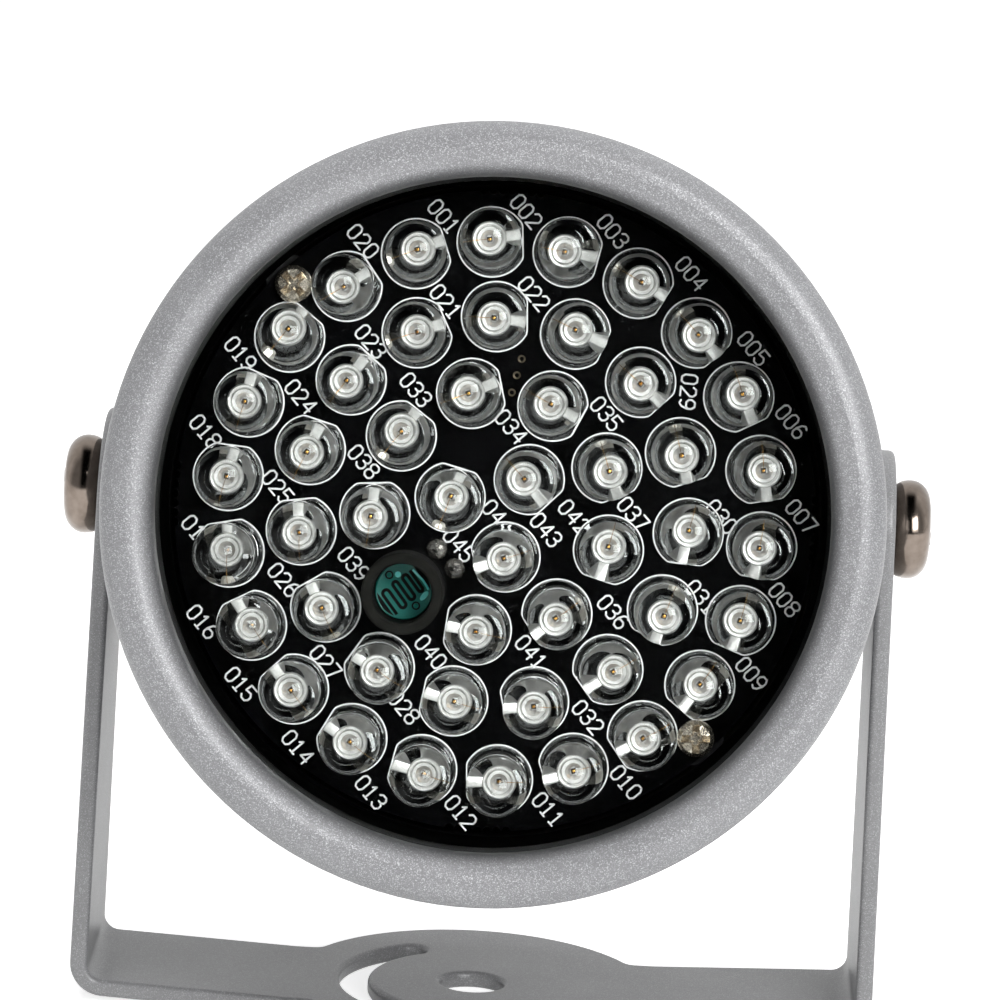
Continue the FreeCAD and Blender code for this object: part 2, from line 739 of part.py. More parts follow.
def make_board_screws():
    body = make_body("board_screws", many=True)
    column_x, column_y = polar(column_circle, column_angle)
    shank, head = size("BoardScrewRadius"), size("BoardScrewHeadRadius")
    crown = board_front + size("BoardScrewHeadHeight")
    heads = make_sketch(body, "XY_Plane", "Heads", board_front)
    shanks = make_sketch(body, "XY_Plane", "Shanks", board_front)
    crosses = make_sketch(body, "XY_Plane", "Crosses", crown)
    for sign in (1.0, -1.0):
        add_circle(heads, column_x * sign, column_y * sign, head)
        add_circle(shanks, column_x * sign, column_y * sign, shank)
        add_cross(crosses, column_x * sign, column_y * sign, size("BoardCrossSpan"),
                  size("BoardCrossWidth"), size("CrossTurn") * (2.0 + sign))
    raised = pad(body, "HeadPads", heads, size("BoardScrewHeadHeight"))
    fillet(body, "HeadRound", raised, size("BoardScrewRound"), lambda edge: is_hoop(edge, head, crown))
    pad(body, "ShankPads", shanks, size("BoardScrewLength"), Reversed=True)
    pocket(body, "CrossCuts", crosses, size("BoardCrossDepth"))


def make_grommet():
    body = make_body("cable_grommet")
    neck = size("CordHoleRadius") - size("GrommetGap")
    bore = neck - size("GrommetWall")
    flange = neck + size("GrommetFlangeWidth")
    back = housing_rear - size("GrommetFlangeHeight")
    lip = neck + size("GrommetFlangeWidth") * 0.6
    front = cavity_floor + size("GrommetFlangeHeight") * 0.6
    ring = turned(body, "Grommet", [
        (bore, back), (flange, back), (flange, housing_rear), (neck, housing_rear),
        (neck, cavity_floor), (lip, cavity_floor), (lip, front), (bore, front)])
    fillet(body, "FlangeRound", ring, size("GrommetFlangeHeight") * 0.5,
           lambda edge: is_hoop(edge, flange, back) or is_hoop(edge, bore, back))


resistor_circle = (outer_ring + second_ring) * 0.5
part_circle = (second_ring + third_ring) * 0.5


def make_rear_part(label, length, width, height, angle):
    """Moulded part on the back of the board, its length along the ring."""
    body = make_body(label)
    x, y = polar(part_circle, as_size(angle))
    plan = make_sketch(body, "XY_Plane", "Plan", board_rear)
    add_rectangle(plan, x, y, size(length), size(width), as_size(angle + 90.0))
    pad(body, "Moulding", plan, size(height), Reversed=True, TaperAngle=-size("MouldTaper"))


def make_resistors():
    body = make_body("string_resistors", many=True)
    first = as_size(180.0) / size("ResistorCount")
    x, y = polar(resistor_circle, first)
    plan = make_sketch(body, "XY_Plane", "Plan", board_rear)
    add_rectangle(plan, x, y, size("ResistorLength"), size("ResistorWidth"), first + 90.0)
    chip = pad(body, "Chip", plan, size("ResistorHeight"), Reversed=True)
    ring_pattern(body, "Chips", [chip], plan, size("ResistorCount"))


def make_capacitor():
    body = make_body("smoothing_capacitor")
    radius = size("CapacitorRadius")
    plan = make_sketch(body, "XY_Plane", "Plan", board_rear)
    add_circle(plan, part_circle, 0.0, radius)
    can = pad(body, "Can", plan, size("CapacitorHeight"), Reversed=True)
    end = board_rear - size("CapacitorHeight")
    fillet(body, "CanEdge", can, radius * 0.15, lambda edge: is_hoop(edge, radius, end))


def make_all():
    make_bracket()
    make_housing()
    make_bezel()
    make_glass()
    make_flat_ring("front_gasket", gasket_bore, glass_radius, glass_front, lip_rear)
    make_flat_ring("glass_seat_seal", gasket_bore, glass_radius, neck_front, glass_rear)
    make_flat_ring("neck_seal", bezel_bore, barrel, shoulder, bezel_rear)
    make_board()
    for ring in LED_RINGS:
        make_led_ring(*ring)
    make_solder_joints()
    make_cell()
    make_sleeve()
    make_front_joints()
    make_board_screws()
    make_pivot_screw("pivot_screw_right", 1.0)
    make_pivot_screw("pivot_screw_left", -1.0)
    make_grommet()
    make_rear_part("light_switch_transistor", "SwitchLength", "SwitchWidth", "SwitchHeight", 90.0)
    make_rear_part("control_chip", "ChipLength", "ChipWidth", "ChipHeight", 180.0)
    make_rear_part("supply_terminal", "TerminalLength", "TerminalWidth", "TerminalHeight", 270.0)
    make_resistors()
    make_capacitor()


def check_and_export():
    doc.recompute()
    for item in doc.Objects:
        if "Invalid" in item.State or "Error" in item.State:
            raise RuntimeError(item.Name + " of " + item.getParentGeoFeatureGroup().Name + " failed")
    os.makedirs("parts", exist_ok=True)
    bodies = [item for item in doc.Objects if item.isDerivedFrom("PartDesign::Body")]
    for body in bodies:
        shape = body.Shape
        if shape.isNull() or not shape.isValid():
            raise RuntimeError(body.Label + " has no sound shape")
    for body in bodies:
        body.Shape.exportStep("parts/" + body.Label + ".step")
        print(body.Label, len(body.Shape.Solids), "solids", round(body.Shape.Volume, 1), "mm3")


make_all()
check_and_export()
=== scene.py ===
# Infrared illuminator: the looks of the lamp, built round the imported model.
import json
import math

import bpy
import numpy as np
from mathutils import Matrix, Vector


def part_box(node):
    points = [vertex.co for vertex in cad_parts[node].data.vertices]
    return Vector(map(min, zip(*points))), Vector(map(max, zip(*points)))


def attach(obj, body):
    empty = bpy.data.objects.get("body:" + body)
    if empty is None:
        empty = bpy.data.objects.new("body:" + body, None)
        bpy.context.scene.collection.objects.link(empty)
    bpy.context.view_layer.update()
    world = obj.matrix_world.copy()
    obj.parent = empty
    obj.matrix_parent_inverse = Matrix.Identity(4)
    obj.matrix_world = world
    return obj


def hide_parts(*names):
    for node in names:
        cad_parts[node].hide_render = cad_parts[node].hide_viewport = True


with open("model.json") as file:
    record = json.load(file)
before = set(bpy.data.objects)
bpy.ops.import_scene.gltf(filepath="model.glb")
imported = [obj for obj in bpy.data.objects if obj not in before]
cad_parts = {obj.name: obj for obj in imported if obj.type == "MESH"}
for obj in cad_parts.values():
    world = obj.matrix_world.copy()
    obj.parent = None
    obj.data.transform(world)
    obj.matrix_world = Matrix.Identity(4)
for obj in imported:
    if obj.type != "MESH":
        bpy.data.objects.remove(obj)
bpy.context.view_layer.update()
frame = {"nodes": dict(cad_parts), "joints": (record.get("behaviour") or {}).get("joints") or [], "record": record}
mm = 0.001  # everything below is worked out in millimetres
print("frame loaded")


# The head's own axes: x to the right, y up along its face, z out of its front

headJoint = frame["joints"][0]
cableInlet = next(m for m in frame["record"]["mounts"] if m["name"] == "cable_inlet")
pivot = np.array(headJoint["pos_m"]) / mm
restTilt = math.asin(-cableInlet["axis"][2])  # the inlet looks straight out of the back
headAxes = np.array([
    [1, 0, 0],
    [0, math.sin(restTilt), math.cos(restTilt)],
    [0, -math.cos(restTilt), math.sin(restTilt)],
])


def linear(code):
    # An sRGB hex colour as linear light: a straight part near black, a power of 2.4 above it
    level = np.array([int(code[i:i + 2], 16) for i in (1, 3, 5)]) / 255
    return (*np.where(level <= 0.04045, level / 12.92, ((level + 0.055) / 1.055) ** 2.4), 1.0)


def inHead(points):
    # Head millimetres to the row's metres: pivot + x right + y up + z forward
    return (pivot + np.asarray(points, float) @ headAxes) * mm


def polar(radius, degrees):
    angle = np.radians(degrees)
    return np.stack([radius * np.cos(angle), radius * np.sin(angle)], -1)


# Camera: a long lens a little above the lamp's axis, rolled a little

cameraView = {"yaw": -0.7, "pitch": 11.8, "roll": 3.05, "distance": 430.5, "right": -0.24,
              "up": -0.55, "lens": 180}


def makeCamera(view):
    yaw, pitch, roll = (math.radians(view[key]) for key in ("yaw", "pitch", "roll"))
    forward = np.array([math.sin(yaw) * math.cos(pitch), math.cos(yaw) * math.cos(pitch), -math.sin(pitch)])
    level = np.array([math.cos(yaw), -math.sin(yaw), 0])
    upright = np.cross(level, forward)
    right = level * math.cos(roll) + upright * math.sin(roll)
    up = upright * math.cos(roll) - level * math.sin(roll)
    place = pivot - forward * view["distance"] - right * view["right"] - up * view["up"]
    data = bpy.data.cameras.new("camera")
    data.lens = view["lens"]
    data.sensor_width = 36
    data.clip_start = 0.01
    camera = bpy.data.objects.new("camera", data)
    bpy.context.scene.collection.objects.link(camera)
    matrix = Matrix.Identity(4)
    for row in range(3):
        matrix[row] = (right[row], up[row], -forward[row], place[row] * mm)
    camera.matrix_world = matrix
    bpy.context.scene.camera = camera


makeCamera(cameraView)
bpy.context.scene.view_settings.view_transform = "Standard"
print("camera made")


# Nodes and materials

def addNode(tree, kind, settings={}, links={}):
    # One node: settings are its own properties or its sockets' values, links name what feeds its sockets
    node = tree.nodes.new(kind)
    for key, value in settings.items():
        if isinstance(key, str) and hasattr(node, key):
            setattr(node, key, value)
        else:
            node.inputs[key].default_value = value
    for key, source in links.items():
        tree.links.new(source, node.inputs[key])
    return node


def newMaterial(name, settings):
    # A material with one Principled shader; settings are the shader's own sockets
    material = bpy.data.materials.new(name)
    material.use_nodes = True
    tree = material.node_tree
    shader = tree.nodes["Principled BSDF"]
    for key, value in settings.items():
        shader.inputs[key].default_value = value
    return material, tree, shader


def objectMillimetres(tree):
    # Object coordinates in millimetres, so that every texture's scale is one over a real size
    place = addNode(tree, "ShaderNodeTexCoord").outputs["Object"]
    return addNode(tree, "ShaderNodeMapping", {"Scale": (1 / mm,) * 3}, {"Vector": place}).outputs[0]


def headMillimetres(tree):
    # The same in the head's own axes, measured from the pivot
    place = addNode(tree, "ShaderNodeTexCoord").outputs["Object"]
    turn = math.pi / 2 - restTilt
    return addNode(tree, "ShaderNodeMapping", {"vector_type": "TEXTURE", "Location": tuple(pivot * mm),
                   "Rotation": (turn, 0, 0), "Scale": (mm,) * 3}, {"Vector": place}).outputs[0]


silverPaint = {
    "fleck": "#dfe1e4", "shade": "#77797d", "fleckSize": 0.065, "fleckTurn": 0.3,
    "brightPower": 6.0, "dimPower": 3.0, "dimShare": 0.6,
    "cloudSize": 6, "grainSize": 0.25, "grainShare": 0.35, "toneRange": (0.45, 0.95),
    "peelSize": 0.9, "peelHeight": 0.003,
    "metallic": 0.15, "roughness": 0.42, "roughSpread": 0.06, "coat": 0.08, "coatRoughness": 0.25,
    # the lip's painted shade: the near-black that the colour fades to between lipStart and lipEnd
    "paintedLipShade": "#101011", "lipStart": 27.3, "lipEnd": 28.4,  # from the head's axis
    "black": "#040404", "boreRadius": 27.6, "cupFloor": -18.0, "shoulder": 11.95,  # the last two from the pivot
}


def metallicPaint(name, place, dark, light, sparkle, inside=None):
    # Silver-grey metallic lacquer, sprayed: an even satin grey in which fine flakes catch the light one by one,
    # with a faint orange peel. Real flakes are finer: these are as coarse as they need to show
    p = silverPaint
    material, tree, shader = newMaterial(name, {
        "Metallic": p["metallic"], "Coat Weight": p["coat"], "Coat Roughness": p["coatRoughness"]})
    place = place(tree)
    cells = addNode(tree, "ShaderNodeTexVoronoi", {"Scale": 1 / p["fleckSize"]}, {"Vector": place})
    parts = addNode(tree, "ShaderNodeSeparateColor", links={"Color": cells.outputs["Color"]})
    # the brighter a flake, the rarer: a random number raised to a power
    bright = addNode(tree, "ShaderNodeMath", {"operation": "POWER", 1: p["brightPower"]}, {0: parts.outputs[0]})
    bright = addNode(tree, "ShaderNodeMath", {"operation": "MULTIPLY", 1: sparkle}, {0: bright.outputs[0]})
    dim = addNode(tree, "ShaderNodeMath", {"operation": "POWER", 1: p["dimPower"]}, {0: parts.outputs[2]})
    dim = addNode(tree, "ShaderNodeMath", {"operation": "MULTIPLY", 1: sparkle * p["dimShare"]},
                  {0: dim.outputs[0]})
    cloud = addNode(tree, "ShaderNodeTexNoise", {"Scale": 1 / p["cloudSize"], "Detail": 3.0}, {"Vector": place})
    grain = addNode(tree, "ShaderNodeTexNoise", {"Scale": 1 / p["grainSize"], "Detail": 2.0}, {"Vector": place})
    tone = addNode(tree, "ShaderNodeMath", {"operation": "MULTIPLY_ADD", 1: p["grainShare"]},
                   {0: grain.outputs[0], 2: cloud.outputs[0]})
    low, high = p["toneRange"]
    even = addNode(tree, "ShaderNodeMapRange", {1: low, 2: high}, {0: tone.outputs[0]})
    colour = addNode(tree, "ShaderNodeMix", {"data_type": "RGBA", 6: linear(dark), 7: linear(light)},
                     {0: even.outputs[0]}).outputs[2]
    for amount, code in ((dim, p["shade"]), (bright, p["fleck"])):
        colour = addNode(tree, "ShaderNodeMix", {"data_type": "RGBA", 7: linear(code)},
                         {0: amount.outputs[0], 6: colour}).outputs[2]
    low, high = p["roughness"] - p["roughSpread"], p["roughness"] + p["roughSpread"]
    rough = addNode(tree, "ShaderNodeMapRange", {3: low, 4: high}, {0: parts.outputs[1]})
    if inside:
        flat = addNode(tree, "ShaderNodeVectorMath", {"operation": "MULTIPLY", 1: (1, 1, 0)}, {0: place})
        radius = addNode(tree, "ShaderNodeVectorMath", {"operation": "LENGTH"}, {0: flat.outputs[0]})
        radius = radius.outputs["Value"]
    if inside == "lip":
        # Painted shade: the colour darkens to near black over the lip's inner slope, where little light falls
        lipShadeAmount = addNode(tree, "ShaderNodeMapRange", {1: p["lipStart"], 2: p["lipEnd"], 3: 1.0, 4: 0.0}, {0: radius})
        colour = addNode(tree, "ShaderNodeMix", {"data_type": "RGBA", 7: linear(p["paintedLipShade"])},
                         {0: lipShadeAmount.outputs[0], 6: colour}).outputs[2]
    if inside == "cup":
        # Matt black is sprayed over the bore in front of the cup's floor, and over all of the neck past the shoulder
        height = addNode(tree, "ShaderNodeSeparateXYZ", links={"Vector": place}).outputs[2]
        near = addNode(tree, "ShaderNodeMath", {"operation": "LESS_THAN", 1: p["boreRadius"]}, {0: radius})
        above = addNode(tree, "ShaderNodeMath", {"operation": "GREATER_THAN", 1: p["cupFloor"]}, {0: height})
        front = addNode(tree, "ShaderNodeMath", {"operation": "GREATER_THAN", 1: p["shoulder"]}, {0: height})
        cavity = addNode(tree, "ShaderNodeMath", {"operation": "MULTIPLY"}, {0: near.outputs[0], 1: above.outputs[0]})
        black = addNode(tree, "ShaderNodeMath", {"operation": "MAXIMUM"}, {0: cavity.outputs[0], 1: front.outputs[0]})
        colour = addNode(tree, "ShaderNodeMix", {"data_type": "RGBA", 7: linear(p["black"])},
                         {0: black.outputs[0], 6: colour}).outputs[2]
        shine = addNode(tree, "ShaderNodeMath", {"operation": "MULTIPLY_ADD", 1: -p["metallic"], 2: p["metallic"]},
                        {0: black.outputs[0]})
        tree.links.new(shine.outputs[0], shader.inputs["Metallic"])
    # each flake leans its own way: a random vector per cell is added to the surface's normal
    lean = addNode(tree, "ShaderNodeVectorMath", {"operation": "SUBTRACT", 1: (0.5, 0.5, 0.5)},
                   {0: cells.outputs["Color"]})
    lean = addNode(tree, "ShaderNodeVectorMath", {"operation": "SCALE", 3: p["fleckTurn"] * sparkle},
                   {0: lean.outputs[0]})
    peel = addNode(tree, "ShaderNodeTexNoise", {"Scale": 1 / p["peelSize"], "Detail": 1.0}, {"Vector": place})
    bump = addNode(tree, "ShaderNodeBump", {"Distance": p["peelHeight"] * mm, "Strength": 1.0},
                   {"Height": peel.outputs[0]})
    normal = addNode(tree, "ShaderNodeVectorMath", links={0: bump.outputs[0], 1: lean.outputs[0]})
    normal = addNode(tree, "ShaderNodeVectorMath", {"operation": "NORMALIZE"}, {0: normal.outputs[0]})
    tree.links.new(colour, shader.inputs["Base Color"])
    tree.links.new(rough.outputs[0], shader.inputs["Roughness"])
    tree.links.new(normal.outputs[0], shader.inputs["Normal"])
    tree.links.new(bump.outputs[0], shader.inputs["Coat Normal"])
    return material


finePattern = {"cloudGrains": 8, "cloudRange": (0.35, 0.65), "grainRange": (0.3, 0.7), "roughShares": (0.8, 1.2)}


def plainFinish(name, dark, light, grain, depth, shader):
    # A moulded, plated or rubber surface: two close tones in soft clouds, and a fine relief that also varies the
    # gloss. grain is the relief's width in mm, depth its height; the clouds are several grains wide
    p = finePattern
    rough = shader.pop("Roughness")
    material, tree, bsdf = newMaterial(name, shader)
    place = headMillimetres(tree)
    cloudSize = grain * p["cloudGrains"]
    cloud = addNode(tree, "ShaderNodeTexNoise", {"Scale": 1 / cloudSize, "Detail": 4.0}, {"Vector": place})
    fine = addNode(tree, "ShaderNodeTexNoise", {"Scale": 1 / grain, "Detail": 3.0}, {"Vector": place})
    low, high = p["cloudRange"]
    tone = addNode(tree, "ShaderNodeMapRange", {1: low, 2: high}, {0: cloud.outputs[0]})
    colour = addNode(tree, "ShaderNodeMix", {"data_type": "RGBA", 6: linear(dark), 7: linear(light)},
                     {0: tone.outputs[0]})
    tree.links.new(colour.outputs[2], bsdf.inputs["Base Color"])
    low, high = p["grainRange"]
    smooth, coarse = (rough * share for share in p["roughShares"])
    spread = addNode(tree, "ShaderNodeMapRange", {1: low, 2: high, 3: smooth, 4: min(1, coarse)},
                     {0: fine.outputs[0]})
    tree.links.new(spread.outputs[0], bsdf.inputs["Roughness"])
    bump = addNode(tree, "ShaderNodeBump", {"Distance": depth * mm}, {"Height": fine.outputs[0]})
    tree.links.new(bump.outputs[0], bsdf.inputs["Normal"])
    return material


wipeMarks = {"size": 1.5, "range": (0.4, 0.8)}


def clearMaterial(name, ior, tint, haze):
    # Water-clear and polished: it shows only by its highlights and by how it bends what lies behind. haze is the
    # roughness of its faint smears
    material, tree, shader = newMaterial(name, {"Base Color": linear(tint), "Transmission Weight": 1.0, "IOR": ior,
                                                "Roughness": 0.0})
    place = objectMillimetres(tree)
    smear = addNode(tree, "ShaderNodeTexNoise", {"Scale": 1 / wipeMarks["size"], "Detail": 3.0}, {"Vector": place})
    low, high = wipeMarks["range"]
    spread = addNode(tree, "ShaderNodeMapRange", {1: low, 2: high, 3: 0.0, 4: haze}, {0: smear.outputs[0]})
    tree.links.new(spread.outputs[0], shader.inputs["Roughness"])
    return material


# Lacquer on bent steel: satin grey, a little darker than the castings, with few bright flakes
bracketPaint = metallicPaint("sprayed_silver_paint_on_steel", objectMillimetres, "#808081", "#8c8c8d", 0.35)
# On the cast ring: satin grey that glitters, with painted shade darkening its inner slope to near black
bezelPaint = metallicPaint("sprayed_silver_paint_on_casting_with_painted_lip_shade", headMillimetres, "#868688", "#919193", 0.65, "lip")
# On the cast cup: the same outside, and black inside and on the neck
housingPaint = metallicPaint("sprayed_paint_black_inside", headMillimetres, "#868688", "#949497", 0.7, "cup")
# Bright plating on turned steel: a grey mirror, faintly warm
nickel = plainFinish("bright_nickel_plate", "#7b7067", "#8a7f76", 0.12, 0.002, {"Metallic": 1.0, "Roughness": 0.16})
# Plating that has yellowed: a pale warm mirror with soft edges
warmNickel = plainFinish("yellowed_nickel_plate", "#c9bdab", "#f0e6d6", 0.12, 0.003,
                         {"Metallic": 0.95, "Roughness": 0.24})
# Plating under old flux: dark brown metal
dullGold = plainFinish("dull_plated_hole", "#3b352c", "#5c5345", 0.06, 0.003, {"Metallic": 0.9, "Roughness": 0.35})
# Stamped and silver-plated frame: pale soft metal
leadSilver = plainFinish("silver_plated_lead_frame", "#bcbbb8", "#e0dfdc", 0.06, 0.003,
                         {"Metallic": 0.7, "Roughness": 0.38})
# The frame's posts: the same plate, warmer and a little glossier
postSilver = plainFinish("silver_plated_wire_post", "#c4bfb4", "#ece8df", 0.08, 0.003,
                         {"Metallic": 0.6, "Roughness": 0.32})
# Drawn gold wire: a warm hairline glint
gold = plainFinish("gold_bond_wire", "#9a6a2c", "#e0b060", 0.05, 0.001, {"Metallic": 1.0, "Roughness": 0.25})
# Sawn semiconductor: a dark brown square with a dull shine
chipDark = plainFinish("gallium_arsenide_chip", "#2a2522", "#443a33", 0.04, 0.001,
                       {"Metallic": 0.4, "Roughness": 0.3})
# Cured solder mask: near black, with clear reflections
maskBlack = plainFinish("gloss_black_solder_mask", "#010101", "#040405", 0.5, 0.003,
                        {"Roughness": 0.12, "Specular IOR Level": 0.5, "Coat Weight": 0.3, "Coat Roughness": 0.05})
# Screen-printed ink: flat, opaque white
printWhite = plainFinish("white_printed_ink", "#e6e6e6", "#f8f8f8", 0.06, 0.004, {"Roughness": 0.55})
# Moulded rubber: soft black with hardly any shine
rubber = plainFinish("moulded_black_rubber", "#030303", "#080808", 0.2, 0.01,
                     {"Roughness": 0.9, "Specular IOR Level": 0.15})
# Flat lacquer: black that mirrors nothing
linerBlack = plainFinish("flat_black_lacquer", "#020202", "#050505", 0.3, 0.004,
                         {"Roughness": 1.0, "Specular IOR Level": 0.0})
# Extruded nylon tube: matt, faintly brown black
sleeveBlack = plainFinish("matt_black_nylon_tube", "#131311", "#1b1b19", 0.15, 0.008,
                          {"Roughness": 0.8, "Specular IOR Level": 0.06})
# Clean solder: bright grey beads
solderGrey = plainFinish("bright_solder", "#8e8e90", "#c4c4c6", 0.2, 0.01, {"Metallic": 1.0, "Roughness": 0.25})
# Solder under flux: a dark uneven mirror with a wet shine
fluxedSolder = plainFinish("solder_under_dark_flux", "#4a4744", "#8f8b86", 0.3, 0.08,
                           {"Metallic": 0.9, "Roughness": 0.16, "Coat Weight": 1.0, "Coat Roughness": 0.05})
# Moulded epoxy packages: dark grey with a low sheen
mouldedBlack = plainFinish("moulded_epoxy_black", "#131314", "#222223", 0.08, 0.006, {"Roughness": 0.55})
# Glazed ceramic: dark blue-grey with a soft shine
chipCeramic = plainFinish("resistor_ceramic", "#15161a", "#2c2d33", 0.1, 0.004, {"Roughness": 0.4})
# Moulded nylon: waxy off-white
nylonWhite = plainFinish("white_nylon", "#dcd8cc", "#efece2", 0.3, 0.008, {"Roughness": 0.45})
# Shrunk PVC film: smooth dark blue with a broad highlight
capacitorBlue = plainFinish("shrunk_pvc_sleeve", "#14213f", "#1f3058", 0.6, 0.006, {"Roughness": 0.3})
# Lacquered ceramic: smooth deep teal under a thin clear coat
cellTeal = plainFinish("teal_sensor_face", "#10695f", "#15756b", 0.5, 0.002,
                       {"Roughness": 0.35, "Specular IOR Level": 0.15, "Coat Weight": 0.2, "Coat Roughness": 0.03})
# Sintered track: matt green-black
trackDark = plainFinish("dark_sensor_track", "#020605", "#060f0d", 0.1, 0.004,
                        {"Roughness": 0.4, "Specular IOR Level": 0.1})
# Painted highlights: bright blue-green marks with a wet shine that stand in for the lamps' glints on the cell's
# lacquer
cyanGlintPaint = plainFinish("painted_cyan_glints", "#36e2da", "#86fff8", 0.2, 0.02,
                        {"Metallic": 0.0, "Roughness": 0.35, "Coat Weight": 1.0, "Coat Roughness": 0.03})
clearEpoxy = clearMaterial("cast_clear_epoxy", 1.53, "#fdfefe", 0.03)  # cast lenses with the faintest smears
plateGlass = clearMaterial("float_glass", 1.5, "#fbfefd", 0.0)  # flat polished glass, faintly green

nodeMaterials = {
    "bracket": bracketPaint, "housing": housingPaint, "bezel": bezelPaint, "front_glass": plateGlass,
    "front_gasket": rubber, "glass_seat_seal": rubber, "neck_seal": rubber, "cable_grommet": rubber,
    "led_board": maskBlack, "led_solder_joints": solderGrey, "photocell": cellTeal,
    "photocell_sleeve": sleeveBlack, "photocell_solder_joints": fluxedSolder, "board_screws": nickel,
    "pivot_screw_left": nickel, "pivot_screw_right": nickel, "light_switch_transistor": mouldedBlack,
    "control_chip": mouldedBlack, "supply_terminal": nylonWhite, "string_resistors": chipCeramic,
    "smoothing_capacitor": capacitorBlue,
}
for nodeName, material in nodeMaterials.items():
    slots = frame["nodes"][nodeName].data.materials
    slots.clear()
    slots.append(material)
frame["nodes"]["front_glass"].visible_shadow = False  # the light reaches the board without caustic noise
print("materials made")


# Surfaces: every new piece is a stack of closed rings of points

def addRings(name, rings, material, closed=False, sharp=40):
    # rings is (copies, rows, columns, 3) in head millimetres. Quads join each ring to the next;
    # closed joins the last ring to the first, otherwise both ends are capped
    rings = np.asarray(rings, float)
    rings = rings.reshape(-1, *rings.shape[-3:])
    copies, rows, columns = rings.shape[:3]
    row, column = np.meshgrid(np.arange(rows if closed else rows - 1), np.arange(columns), indexing="ij")
    after, beside = (row + 1) % rows, (column + 1) % columns
    quads = np.stack([row * columns + column, row * columns + beside, after * columns + beside,
                      after * columns + column], -1).reshape(-1, 4)
    start = np.arange(copies)[:, None, None] * rows * columns
    faces = (quads[None] + start).reshape(-1, 4).tolist()
    if not closed:
        ring = np.arange(columns)[None, :]
        faces += (ring[:, ::-1] + start[:, 0]).tolist()
        faces += (ring + (rows - 1) * columns + start[:, 0]).tolist()
    mesh = bpy.data.meshes.new(name)
    mesh.from_pydata(inHead(rings.reshape(-1, 3)), [], faces)
    mesh.polygons.foreach_set("use_smooth", [True] * len(mesh.polygons))
    mesh.set_sharp_from_angle(angle=math.radians(sharp))
    mesh.materials.append(material)
    piece = bpy.data.objects.new(name, mesh)
    bpy.context.scene.collection.objects.link(piece)
    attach(piece, "head")
    return piece


def turned(profile, columns, flat=None):
    # A profile of (radius, height) turned about the z axis; flat cuts the rings by a chord towards +x
    profile = np.asarray(profile, float)
    angle = np.arange(columns) * 2 * math.pi / columns
    radius = np.repeat(profile[:, :1], columns, 1)
    if flat is not None:
        reach = np.where(np.cos(angle) > 0.2, flat / np.maximum(np.cos(angle), 0.2), 1e9)
        radius = np.minimum(radius, reach[None, :])
    return np.stack([radius * np.cos(angle), radius * np.sin(angle), np.repeat(profile[:, 1:], columns, 1)], -1)


def roundedPost(length, width, corner, levels, columns=16):
    # A rounded rectangle's outline at several levels of (height, inset): straight sides joined by quarter rounds
    angle = (np.arange(columns) + 0.5) * 2 * math.pi / columns
    x, y = np.cos(angle), np.sin(angle)
    rings = []
    for height, inset in levels:
        halfLength, halfWidth = length / 2 - inset - corner, width / 2 - inset - corner
        rings.append(np.stack([np.sign(x) * halfLength + x * corner, np.sign(y) * halfWidth + y * corner,
                               np.full(columns, height)], -1))
    return np.array(rings)


# The lamps: four rings of clear 5 mm domes, numbered clockwise

ledRings = {
    "outer_ring": {"radius": 22.4, "places": 22, "start": 93.75, "left_out": None},
    "second_ring": {"radius": 16.2, "places": 15, "start": 92.7, "left_out": None},
    "third_ring": {"radius": 10.0, "places": 9, "start": 104.3, "left_out": 6},
    "inner_ring": {"radius": 3.9, "places": 3, "start": 165.8, "left_out": None},
}
ledShape = {
    "board": 13.5, "lift": 0.04, "flangeRadius": 2.82, "flangeHeight": 1.0, "flat": 2.5, "flangeRows": 6,
    "lensRadius": 2.5, "shoulder": 6.2, "columns": 64, "domeRows": 20,
    # spread of lean and turn in degrees; leanLimit is in radians, lensTurn and innerLean are shares
    "lean": 1.2, "leanLimit": 0.035, "turn": 5.0, "turnLimit": 10, "lensTurn": 0.2,
    "innerLean": 1.6, "innerSpread": 0.9,
}
chance = np.random.default_rng(48)


def ledPlaces(ring):
    # Centre and clockwise direction of each lamp of a ring
    index = np.array([i for i in range(ring["places"]) if i != ring["left_out"]])
    degrees = ring["start"] - index * 360 / ring["places"]
    return polar(ring["radius"], degrees), degrees - 90


def setLeds(rings, places, directions, lean, turn):
    # Copies lamp-local rings to every place: a turn about the lamp's axis, a small lean, then the centre
    made = []
    for place, direction, tip, twist in zip(places, directions, lean, turn):
        a = math.radians(direction + twist)
        x, y = np.array([math.cos(a), math.sin(a), 0]), np.array([-math.sin(a), math.cos(a), 0])
        z = np.array([tip[0], tip[1], 1.0])
        z /= np.linalg.norm(z)
        moved = rings[..., :1] * x + rings[..., 1:2] * y + rings[..., 2:] * z
        made.append(moved + [place[0], place[1], ledShape["board"]])
    return np.array(made)


def lensProfile():
    # Flange with broken edges, straight body, then a half sphere
    s = ledShape
    flange, top, body = s["flangeRadius"], s["flangeHeight"], s["lensRadius"]
    rise = np.radians(np.linspace(0, 89.4, s["domeRows"]))
    dome = np.stack([body * np.cos(rise), s["shoulder"] + body * np.sin(rise)], -1)
    lower = [(flange - 0.3, s["lift"]), (flange - 0.06, s["lift"]), (flange, s["lift"] + 0.06),
             (flange, top - 0.2), (flange - 0.06, top - 0.06), (flange - 0.2, top), (body, top),
             (body, top + 0.15), (body, 3.0), (body, 4.6)]
    return np.concatenate([lower, dome])


